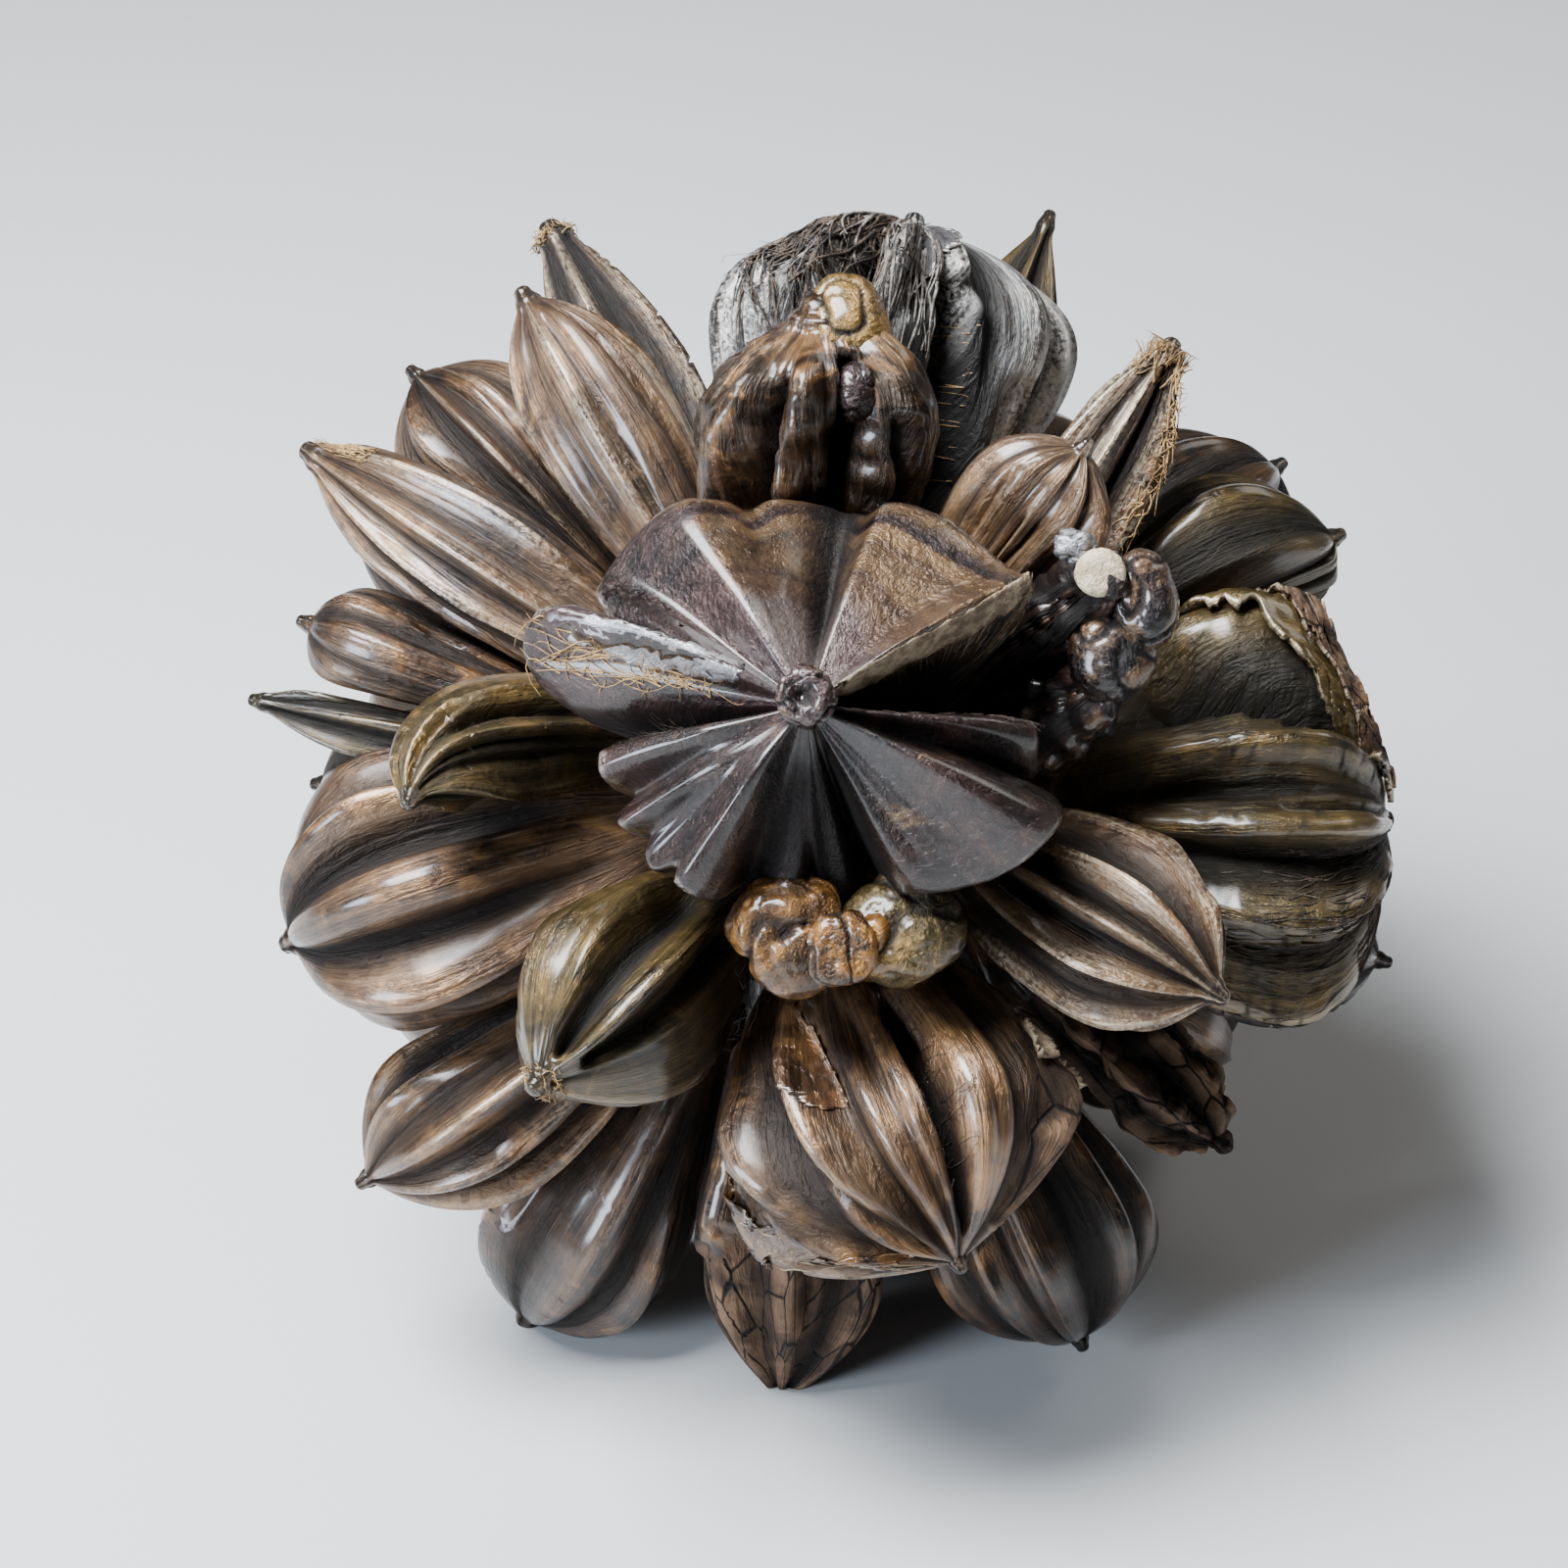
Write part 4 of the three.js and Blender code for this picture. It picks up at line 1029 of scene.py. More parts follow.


# colour, roughness and height of a waxed husk: streaks along the fibres, golden patches where
# the wax is thin, painted shade in the grooves and hollows, pale worn crests, cracked wood where the
# skin is off
def huskGroup():
    masks = [(label, "NodeSocketFloat", value) for label, value in (
        ("Tone", 0.4), ("Gold", 0.3), ("Hollow", 0.0), ("Crest", 0.0), ("Along", 0.5),
        ("Bands", 0.0), ("Bare", 0.0), ("Streaks", 1.0))]
    colours = [(label, "NodeSocketColor", None)
               for label in ("Dark", "Mid", "Light", "Golden", "Worn")]
    group, given, result = newGroup(
        "huskSurface",
        [("Grain", "NodeSocketVector", None), ("Place", "NodeSocketVector", None)] + masks + colours,
        [("Colour", "NodeSocketColor"), ("Roughness", "NodeSocketFloat"),
         ("Gloss", "NodeSocketFloat"), ("Height", "NodeSocketFloat")])
    noise = {label: noiseNode(group, given["Grain" if "stretch" in values else "Place"], **values)
             for label, values in huskNoise.items()}
    blotch, streak, speck = noise["blotch"], noise["streak"], noise["speck"]
    hollow, bare, along = given["Hollow"], given["Bare"], given["Along"]
    # the husk's own tone, streaked and mottled
    tone = given["Tone"]
    for label, share in huskShare["tone"].items():
        swing = mathNode(group, "SUBTRACT", noise[label], 0.5)
        swing = times(group, swing, given["Streaks"]) if label == "streak" else swing
        tone = timesPlus(group, swing, share, tone)
    colour = mixColour(group, rampNode(group, tone, *huskRange["mid"]), given["Dark"], given["Mid"])
    colour = mixColour(group, rampNode(group, tone, *huskRange["light"]), colour, given["Light"])
    # growth bands that run round the fruit
    wander = timesPlus(group, noise["broad"], huskShare["ringWander"], along)
    ring = noiseNode(group, wander, **huskRing)
    ring = times(group, rampNode(group, ring, *huskRange["ring"]), given["Bands"])
    ring = times(group, ring, rampNode(group, blotch, *huskRange["ringMottle"]))
    colour = mixColour(group, ring, colour, given["Golden"])
    # golden patches
    patch = mathNode(group, "ADD", blotch, times(group, given["Gold"], huskShare["goldPatch"]))
    patch = times(group, rampNode(group, patch, *huskRange["patch"]),
                  mathNode(group, "SUBTRACT", 1.0, hollow, clamp=True))
    colour = mixColour(group, times(group, patch, huskShare["patch"]), colour, given["Golden"])
    # the woody layer, cracked into plates
    plates = addNode(group, "ShaderNodeTexVoronoi", feature="DISTANCE_TO_EDGE")
    feed(group, plates.inputs["Vector"],
         stretched(group, given["Grain"], huskPlates["stretch"]))
    plates.inputs["Scale"].default_value = huskPlates["scale"]
    crack = timesPlus(group, blotch, huskShare["crackWander"], plates.outputs["Distance"])
    crack = times(group, rampNode(group, crack, *huskRange["crack"]), bare)
    wood = mixColour(group, rampNode(group, blotch, *huskRange["wood"]), huskWood["dark"],
                     huskWood["light"])
    colour = mixColour(group, times(group, bare, huskShare["wood"]), colour, wood)
    # painted shade: grooves and hollows darkened towards Dark, the deepest painted nearly black in the
    # cracks' colour
    shade = rampNode(group, timesPlus(group, streak, huskShare["shadeStreak"], hollow),
                     *huskRange["shade"])
    colour = mixColour(group, shade, colour, given["Dark"])
    black = mathNode(group, "MAXIMUM", rampNode(group, hollow, *huskRange["black"]), crack)
    colour = mixColour(group, black, colour, huskWood["crack"])
    # worn crests and tips
    rub = times(group, rampNode(group, given["Crest"], *huskRange["crest"]),
                rampNode(group, mathNode(group, "ADD", streak, speck), *huskRange["rub"]))
    tipped = rampNode(group, along, *huskRange["tip"])
    colour = mixColour(group, times(group, tipped, huskShare["tipped"]), colour, given["Dark"])
    worn = mathNode(group, "MAXIMUM", rub,
                    times(group, tipped, rampNode(group, speck, *huskRange["tipRub"])))
    feed(group, result["Colour"], mixColour(group, worn, colour, given["Worn"]))
    share = huskShare["rough"]
    rough = timesPlus(group, blotch, share["blotch"], share["least"])
    rough = timesPlus(group, hollow, share["hollow"], rough)
    rough = timesPlus(group, bare, share["bare"], rough)
    feed(group, result["Roughness"], timesPlus(group, worn, share["worn"], rough, clamp=True))
    dull = mathNode(group, "MAXIMUM", rampNode(group, hollow, *huskRange["dull"]), bare)
    feed(group, result["Gloss"], rampNode(group, dull, *huskRange["gloss"]))
    share = dict(huskShare["height"])
    high = times(group, streak, times(group, given["Streaks"], share.pop("streak")))
    for label, amount in share.items():
        high = timesPlus(group, crack if label == "crack" else noise[label], amount, high)
    feed(group, result["Height"], high)
    return group


skins = {
    "darkHusk": {"slot": "dark_husk", "dark": (0.006, 0.0038, 0.0026), "mid": (0.066, 0.034, 0.017),
                 "light": (0.20, 0.115, 0.06), "golden": (0.26, 0.12, 0.036),
                 "worn": (0.34, 0.27, 0.19), "streaks": 1.0},
    "bronzeHusk": {"slot": "bronze_husk", "dark": (0.010, 0.005, 0.0025),
                   "mid": (0.105, 0.055, 0.028), "light": (0.31, 0.19, 0.105),
                   "golden": (0.34, 0.175, 0.065), "worn": (0.46, 0.37, 0.26), "streaks": 1.0},
    "oliveHusk": {"slot": "olive_husk", "dark": (0.009, 0.0065, 0.003),
                  "mid": (0.092, 0.062, 0.021), "light": (0.26, 0.18, 0.07),
                  "golden": (0.33, 0.185, 0.05), "worn": (0.36, 0.29, 0.19), "streaks": 0.8},
    "plumHusk": {"slot": "plum_husk", "dark": (0.006, 0.0035, 0.0035), "mid": (0.044, 0.021, 0.019),
                 "light": (0.17, 0.135, 0.125), "golden": (0.20, 0.115, 0.052),
                 "worn": (0.42, 0.36, 0.30), "streaks": 0.35},
    # silvery greys that paint the silver sheen of the top fruit into its colour: a painted highlight
    "silverHusk": {"slot": "dark_husk", "dark": (0.008, 0.007, 0.0065),
                   "mid": (0.075, 0.068, 0.064), "light": (0.36, 0.36, 0.365),
                   "golden": (0.18, 0.12, 0.065), "worn": (0.55, 0.52, 0.49), "streaks": 1.3},
    "silverSkin": {"slot": "plum_husk", "dark": (0.05, 0.045, 0.045), "mid": (0.17, 0.16, 0.165),
                   "light": (0.40, 0.39, 0.41), "golden": (0.2, 0.15, 0.1),
                   "worn": (0.45, 0.40, 0.34), "streaks": 0.4},
    "resinLump": {"slot": "resin_lump", "dark": (0.015, 0.007, 0.003), "mid": (0.10, 0.045, 0.013),
                  "light": (0.28, 0.16, 0.065), "golden": (0.40, 0.18, 0.036),
                  "worn": (0.45, 0.34, 0.2), "streaks": 0.3},
}


def huskMaterial(name, skin):
    material, tree, shader, place = newMaterial(name)
    surface = addNode(tree, "ShaderNodeGroup", node_tree=huskSurface)
    grain = addNode(tree, "ShaderNodeAttribute", attribute_name="grain").outputs["Vector"]
    feed(tree, surface.inputs["Grain"], grain)
    feed(tree, surface.inputs["Place"], place)
    for label in ("Tone", "Gold", "Hollow", "Crest", "Along", "Bands", "Bare"):
        mask = addNode(tree, "ShaderNodeAttribute", attribute_name=label.lower())
        feed(tree, surface.inputs[label], mask.outputs["Fac"])
    for label in ("Dark", "Mid", "Light", "Golden", "Worn"):
        surface.inputs[label].default_value = (*skin[label.lower()], 1)
    surface.inputs["Streaks"].default_value = skin["streaks"]
    feed(tree, shader.inputs["Base Color"], surface.outputs["Colour"])
    feed(tree, shader.inputs["Roughness"], surface.outputs["Roughness"])
    feed(tree, shader.inputs["Coat Weight"], surface.outputs["Gloss"])
    addBump(tree, shader, surface.outputs["Height"], huskShine["bump"])
    shader.inputs["Metallic"].default_value = huskShine["metal"]
    shader.inputs["Specular IOR Level"].default_value = huskShine["specular"]
    shader.inputs["Coat Roughness"].default_value = huskShine["coatRough"]
    return material


huskSurface = huskGroup()
for name, skin in skins.items():
    skin["material"] = huskMaterial(name, skin)

# the core is coarse, dull and nearly black
coreFinish = {"dark": (0.004, 0.003, 0.0025, 1), "light": (0.03, 0.021, 0.014, 1), "rough": 0.85,
              "specular": 0.15, "bump": 0.002, "lightFrom": (0.4, 0.75),
              "noise": dict(scale=320, octaves=6, rough=0.7, distortion=1.5)}


def coreMaterial():
    material, tree, shader, place = newMaterial("coreWood")
    fibre = noiseNode(tree, place, **coreFinish["noise"])
    share = rampNode(tree, fibre, *coreFinish["lightFrom"])
    feed(tree, shader.inputs["Base Color"],
         mixColour(tree, share, coreFinish["dark"], coreFinish["light"]))
    addBump(tree, shader, fibre, coreFinish["bump"])
    shader.inputs["Roughness"].default_value = coreFinish["rough"]
    shader.inputs["Specular IOR Level"].default_value = coreFinish["specular"]
    return material


skins["coreWood"] = {"slot": "core_wood", "material": coreMaterial()}

# fibres, cut wood and pale chips: two colours in patches
fibreSkins = {
    "goldFibre": {"slot": "bronze_husk", "one": (0.42, 0.26, 0.10), "two": (0.16, 0.085, 0.03)},
    "paleFibre": {"slot": "plum_husk", "one": (0.40, 0.31, 0.20), "two": (0.14, 0.09, 0.05)},
    "darkFibre": {"slot": "dark_husk", "one": (0.075, 0.05, 0.032), "two": (0.012, 0.008, 0.005)},
    "greyFibre": {"slot": "dark_husk", "one": (0.26, 0.235, 0.21), "two": (0.05, 0.04, 0.033)},
    "creamCut": {"slot": "plum_husk", "one": (0.62, 0.53, 0.37), "two": (0.36, 0.28, 0.17)},
    "stalkWood": {"slot": "core_wood", "one": (0.14, 0.09, 0.055), "two": (0.03, 0.019, 0.012)},
}
fibreFinish = {"patch": dict(scale=240, octaves=4, rough=0.65), "patchFrom": (0.38, 0.62),
               "fine": dict(scale=1400, octaves=3), "bump": 0.0006, "rough": 0.6}


def fibreMaterial(name, skin):
    material, tree, shader, place = newMaterial(name)
    patch = noiseNode(tree, place, **fibreFinish["patch"])
    share = rampNode(tree, patch, *fibreFinish["patchFrom"])
    feed(tree, shader.inputs["Base Color"],
         mixColour(tree, share, (*skin["one"], 1), (*skin["two"], 1)))
    addBump(tree, shader, noiseNode(tree, place, **fibreFinish["fine"]), fibreFinish["bump"])
    shader.inputs["Roughness"].default_value = fibreFinish["rough"]
    return material


for name, skin in fibreSkins.items():
    skins[name] = {"slot": skin["slot"], "material": fibreMaterial(name, skin)}
print("made the materials")

bodies = [looseFruit(fruit) for fruit in fruits]
byName = {body["fruit"]["name"]: body for body in bodies}
pressTogether(bodies + [stalkBody()])
for body in bodies:
    rootWay = body["rootWay"]
    core = (-rootWay, -middle @ rootWay - head["coreRadius"] - head["coreGap"])
    body["ways"] = [way for way, _ in body["walls"] + [core]]
    body["levels"] = [level for _, level in body["walls"] + [core]]
print("pressed the fruits together")

for body in bodies:
    makeFruit(body)
print("made the husks")

coreSet = {"columns": 160, "rows": 90, "rough": 3.2, "pit": 6, "broadPits": 0.7, "finePits": 0.3}


# the ball that the fruits grow from, pitted
def makeCore():
    mesh, ball = ballMesh("core_ball", coreSet["columns"], coreSet["rows"])
    ballPlaces = ball * head["coreRadius"]
    pits = coreSet["broadPits"] * softNoise(ballPlaces, coreSet["pit"], 61)
    pits = pits + coreSet["finePits"] * softNoise(ballPlaces, coreSet["pit"] / 3, 62)
    reach = head["coreRadius"] - coreSet["rough"] * (0.5 + 0.5 * pits)
    movePoints(mesh, middle + ball * reach[:, None])
    finishPiece(mesh, "core_ball", "coreWood", ["woody_core"])


stalkSet = {"columns": 110, "rows": 60, "faceRows": 14, "flute": 0.9, "fluteLength": 0.4,
            "inset": 0.5, "faceInset": 1, "inCore": 6, "faceRough": 0.7, "faceGrain": 2.5}


# the fibrous stub of the stalk behind the core, with its rough cut face
def makeStalk():
    rows, faceRows = stalkSet["rows"], stalkSet["faceRows"]
    mesh, ball = ballMesh("stalk_stub", stalkSet["columns"], rows)
    row = rowOf(ball, rows)
    angle = np.arctan2(ball[:, 1], ball[:, 0])
    inward = np.clip((row - faceRows) / (rows - faceRows), 0, 1)
    fibres = wrinklesAt(63, inward * stalkSet["fluteLength"], angle)
    radius = head["stalkRadius"] - stalkSet["inset"] + stalkSet["flute"] * fibres * (inward > 0)
    radius = radius * np.minimum(1, row / faceRows) * (row < rows)
    face = np.stack((radius * np.cos(angle), radius * np.sin(angle), 0 * angle), axis=-1)
    rise = softNoise(face, stalkSet["faceGrain"], 64)
    depth = blend(head["stalkReach"] - stalkSet["faceInset"],
                  head["coreRadius"] - stalkSet["inCore"], inward)
    depth = depth + stalkSet["faceRough"] * rise * (inward == 0)
    movePoints(mesh, middle - toPole * depth[:, None] - toRight * (radius * np.cos(angle))[:, None]
               + toTop * (radius * np.sin(angle))[:, None])
    finishPiece(mesh, "stalk_stub", "stalkWood")


makeCore()
makeStalk()
print("made the core")

# Loose skin, torn edges and fibres lie on the fruits by where they are along and round them.


def stepAt(body, degrees):
    angles = np.degrees(body["crests"]["angle"])
    ends = np.append(angles, angles[0] + 360)
    return np.interp((degrees - angles[0]) % 360 + angles[0], ends, np.arange(len(ends)))


def onSkin(body, along, degrees, lift):
    along, degrees, lift = np.broadcast_arrays(np.clip(along, 0.02, 0.999), degrees, lift)
    shape = along.shape
    points = skinPoints(body, along.ravel(), stepAt(body, degrees.ravel()), lift.ravel())[0]
    return points.reshape(shape + (3,))


# What a lumpy knob has unless its own settings say otherwise. at and size are right, top and
# towards the front pole.
plainKnob = dict(pit=0, tone=0.5, gold=0.3, wear=0.5)
knobs = [
    dict(name="star_knob", at=(-3.5, 23.5, 117), size=(6.8, 6.8, 4.5), lumps=1.7, pit=3, seed=3,
         skin="plumHusk", tone=0.6, gold=0.5, wear=1.4),
    dict(name="crumpled_lump", at=(5.5, 106, 70), size=(10, 10.5, 9), lumps=1.5, seed=5,
         skin="oliveHusk", tone=0.7, gold=0.9),
    dict(name="crumpled_ball", at=(7.5, 90, 76), size=(5, 6.5, 5.5), lumps=0.8, seed=6,
         skin="plumHusk", tone=0.4, wear=0.2),
    dict(name="gold_left_lump", at=(-6.5, -25.5, 93), size=(12, 12, 9.5), lumps=2.6, seed=7,
         skin="resinLump", tone=0.3, gold=0.5, wear=0.3),
    dict(name="gold_middle_lump", at=(5, -29, 99), size=(8, 9, 5), lumps=1.5, seed=15,
         skin="resinLump", tone=0.35, gold=0.6, wear=0.3),
    dict(name="gold_right_lump", at=(17, -25.5, 90), size=(12.5, 11, 9), lumps=2, seed=8,
         skin="oliveHusk", gold=0.2, wear=0.2),
    dict(name="cut_face", at=(58.9, 50.2, 94.5), size=(5.4, 5.4, 2.6), lumps=0.4, pit=0.8, seed=9,
         skin="creamCut"),
    dict(name="cut_cracked_piece", at=(54, 55.5, 92), size=(5, 4, 4), lumps=1.6, seed=10,
         skin="silverSkin", tone=0.6, wear=0.6),
    dict(name="cut_dark_knob", at=(68.5, 45, 85), size=(7.5, 11, 8), lumps=1.3, seed=11,
         skin="plumHusk", tone=0.2, gold=0.5, wear=0.2),
    dict(name="knob_dark_base", at=(62, 33, 83), size=(9.5, 10.5, 8), lumps=1.2, seed=16,
         skin="plumHusk", tone=0.15, gold=0.6, wear=0.2),
]
knobSet = {
    "subdivisions": 5,
    "swell": ((1.0, 1.0), (0.4, 0.5)),  # amount and size of the swellings
    "crease": (0.9, 0.09),        # size and width of the broad creases
    "creaseDepth": 0.6,
    "fine": (0.32, 0.1),          # the same of the fine ones
    "fineDepth": 0.22,
    "sunkWidth": 0.2,
    "sunkShade": 3,                # a pit this deep gets the full painted shade
    "creaseShade": 0.9,
    "fineShade": 0.5,
    "worn": (0.1, 0.8),
}


def makeKnob(knob):
    form = bmesh.new()
    bmesh.ops.create_icosphere(form, subdivisions=knobSet["subdivisions"], radius=1)
    mesh = bpy.data.meshes.new(knob["name"])
    form.to_mesh(mesh)
    form.free()
    ball = readPoints(mesh)
    seed = knob["seed"]
    swell = 0
    for count, (amount, size) in enumerate(knobSet["swell"]):
        swell = swell + amount * softNoise(ball, size, seed + count)
    (size, width), (fineSize, fineWidth) = knobSet["crease"], knobSet["fine"]
    crease = np.exp(-(softNoise(ball, size, seed + 3) / width) ** 2)
    fine = np.exp(-(softNoise(ball, fineSize, seed + 4) / fineWidth) ** 2)
    lumps = swell - knobSet["creaseDepth"] * crease - knobSet["fineDepth"] * fine
    local = ball * (np.array(knob["size"]) + (knob["lumps"] * lumps)[:, None])
    sunk = np.exp(-((ball[:, :2] ** 2).sum(axis=1) / knobSet["sunkWidth"])) * (ball[:, 2] > 0)
    local[:, 2] -= knob["pit"] * sunk
    movePoints(mesh, middle + (np.array(knob["at"]) + local) @ np.array((toRight, toTop, toPole)))
    # painted shade in the creases and the sunk pit
    hollow = crease * knobSet["creaseShade"] + fine * knobSet["fineShade"]
    storeMasks(mesh, local / 1000 + seed,
               hollow=hollow + sunk * min(1, knob["pit"] / knobSet["sunkShade"]),
               crest=ramp(swell, *knobSet["worn"]) * knob["wear"], along=0.5, tone=knob["tone"],
               gold=knob["gold"])
    finishPiece(mesh, knob["name"], knob["skin"])


for knob in knobs:
    makeKnob({**plainKnob, **knob})
print("made the knobs")

# What a strip of loose skin has unless its own settings say otherwise. The path is along,
# bearing and half width in degrees. Below 1, keep leaves less of the strip.
plainPeel = dict(faces=(40, 10), lift=0.8, curl=1, chip=5, keep=1.25, thick=0.5, hollow=0, wear=0.6,
                 bare=0)
peels = [
    dict(name="star_silver_patch", fruit="fruit_star", skin="silverSkin", seed=2, lift=0.5, curl=1.2,
         keep=1.05, tone=0.75, path=[(0.9, 299, 7), (0.87, 296, 6), (0.83, 294, 5), (0.79, 294, 5),
         (0.73, 293, 3)]),
    dict(name="star_left_sheet", fruit="fruit_star", skin="plumHusk", seed=3, lift=0.5, curl=0.8,
         keep=1.6, tone=0.3, path=[(0.9, 303, 4), (0.84, 301, 7), (0.77, 299, 8), (0.69, 298, 7)]),
    dict(name="star_torn_edge", fruit="fruit_star", skin="paleFibre", seed=4, lift=0.6, curl=0.8,
         keep=0.95, faces=(70, 6), chip=3, path=[(0.95, 60, 5), (0.87, 60, 2.4), (0.78, 59, 1.8),
         (0.7, 57, 1.8), (0.655, 56, 2)]),
    dict(name="right_flap", fruit="fruit_right", seed=6, lift=2.5, curl=2, keep=1.3, faces=(90, 16),
         thick=1.4, tone=0.55, chip=6, wear=0.8, path=[(0.2, 90, 8), (0.4, 86, 9), (0.55, 81, 9),
         (0.68, 67, 9), (0.8, 48, 9), (0.92, 26, 8)]),
    dict(name="right_flap_splinters", fruit="fruit_right", skin="darkHusk", seed=7, lift=4.5, curl=2,
         keep=0.95, faces=(90, 12), thick=0.9, tone=0.5, bare=0.8, wear=0.8, path=[(0.45, 94, 7),
         (0.58, 88, 8), (0.7, 74, 8), (0.8, 56, 8), (0.92, 34, 7)]),
    dict(name="lower_front_left_skin", fruit="fruit_lower_front", seed=8, lift=0.3, curl=0.9,
         keep=1.1, chip=8, tone=0.6, wear=0.4, path=[(0.22, 318, 8), (0.32, 322, 10), (0.42, 328, 9),
         (0.5, 334, 5)]),
    dict(name="lower_front_chip_one", fruit="fruit_lower_front", skin="paleFibre", seed=9, lift=2,
         curl=2, keep=1.1, chip=6, thick=1, path=[(0.42, 76, 4), (0.47, 76, 5), (0.53, 74, 4)],
         faces=(20, 10)),
    dict(name="lower_front_chip_two", fruit="fruit_lower_front", skin="paleFibre", seed=10, lift=3,
         curl=2, keep=1.1, chip=6, thick=1, path=[(0.46, 96, 3), (0.52, 95, 4), (0.6, 93, 3)],
         faces=(20, 10)),
    dict(name="lower_front_frill", fruit="fruit_lower_front", skin="darkHusk", seed=11, curl=3,
         keep=0.85, tone=0.5, wear=0.5, faces=(80, 12), path=[(0.42, 250, 6), (0.58, 256, 7),
         (0.7, 264, 8), (0.8, 276, 9), (0.9, 296, 9)]),
    dict(name="top_peel", fruit="fruit_top", skin="silverSkin", seed=12, lift=1, curl=2.5, keep=0.9,
         chip=6, tone=0.5, faces=(60, 12), path=[(0.74, 352, 10), (0.82, 350, 14), (0.9, 350, 20),
         (0.95, 355, 30)]),
]
peelSet = {
    "torn": ((0.5, 30), (0.3, 90)),  # amount and count of the tears at the sides
    "tornSide": 0.5,
    "endTorn": (0.04, 14),
    "curlPower": 2.5,
    "endFirst": 0.1,              # the ends chip sooner than the sides
    "chipPower": 3,
    "wornPower": 6,
}


def makePeel(peel):
    body = byName[peel["fruit"]]
    fruit = body["fruit"]
    form = bmesh.new()
    longWays, across = peel["faces"]
    bmesh.ops.create_grid(form, x_segments=longWays, y_segments=across, size=0.5)
    flat = np.array([vertex.co for vertex in form.verts])
    seed = peel["seed"]
    (broad, broadCount), (fine, fineCount) = peelSet["torn"]
    torn = softNoise(flat * (broadCount, 3, 1), 1, seed) * broad
    torn = torn + softNoise(flat * (fineCount, 3, 1), 1, seed) * fine
    path = np.array(peel["path"], float)
    places = np.linspace(0, 1, len(path))
    ragged, tears = peelSet["endTorn"]
    onward = flat[:, 0] + 0.5 + ragged * softNoise(flat * (1, tears, 1), 1, seed + 1)
    onward = np.clip(onward, 0, 1)
    aside = flat[:, 1] * 2 * (1 + peelSet["tornSide"] * torn)
    along = np.interp(onward, places, path[:, 0])
    degrees = np.interp(onward, places, path[:, 1]) + aside * np.interp(onward, places, path[:, 2])
    curl = peel["curl"] * (0.5 + 0.5 * softNoise(flat * (9, 2, 1), 1, seed + 2))
    lift = peel["lift"] + curl * np.abs(aside) ** peelSet["curlPower"]
    points = onSkin(body, along, degrees, lift)
    for vertex, point in zip(form.verts, points):
        vertex.co = point / 1000
    chipped = softNoise(points, peel["chip"], seed + 3)
    border = np.maximum(np.abs(flat[:, 0] * 2) - peelSet["endFirst"], np.abs(flat[:, 1] * 2))
    gone = chipped + border ** peelSet["chipPower"] > peel["keep"]
    form.verts.ensure_lookup_table()
    lost = {face for face in form.faces if sum(gone[vertex.index] for vertex in face.verts) > 2}
    kept = np.array([any(face not in lost for face in vertex.link_faces) for vertex in form.verts])
    bmesh.ops.delete(form, geom=list(lost), context="FACES")
    mesh = bpy.data.meshes.new(peel["name"])
    bmesh.ops.recalc_face_normals(form, faces=form.faces[:])
    form.to_mesh(mesh)
    form.free()
    storeMasks(mesh, grainOf(body, np.radians(degrees[kept]), along[kept]), hollow=peel["hollow"],
               crest=border[kept] ** peelSet["wornPower"] * peel["wear"], along=0.5,
               tone=peel.get("tone", fruit["tone"]), gold=peel.get("gold", fruit["gold"]),
               bare=peel["bare"])
    piece = finishPiece(mesh, peel["name"], peel.get("skin", fruit["skin"]))
    wall = piece.modifiers.new("thickness", "SOLIDIFY")
    wall.thickness = peel["thick"] / 1000
    wall.offset = 0


for peel in peels:
    makePeel({**plainPeel, **peel})
print("made the loose skin")

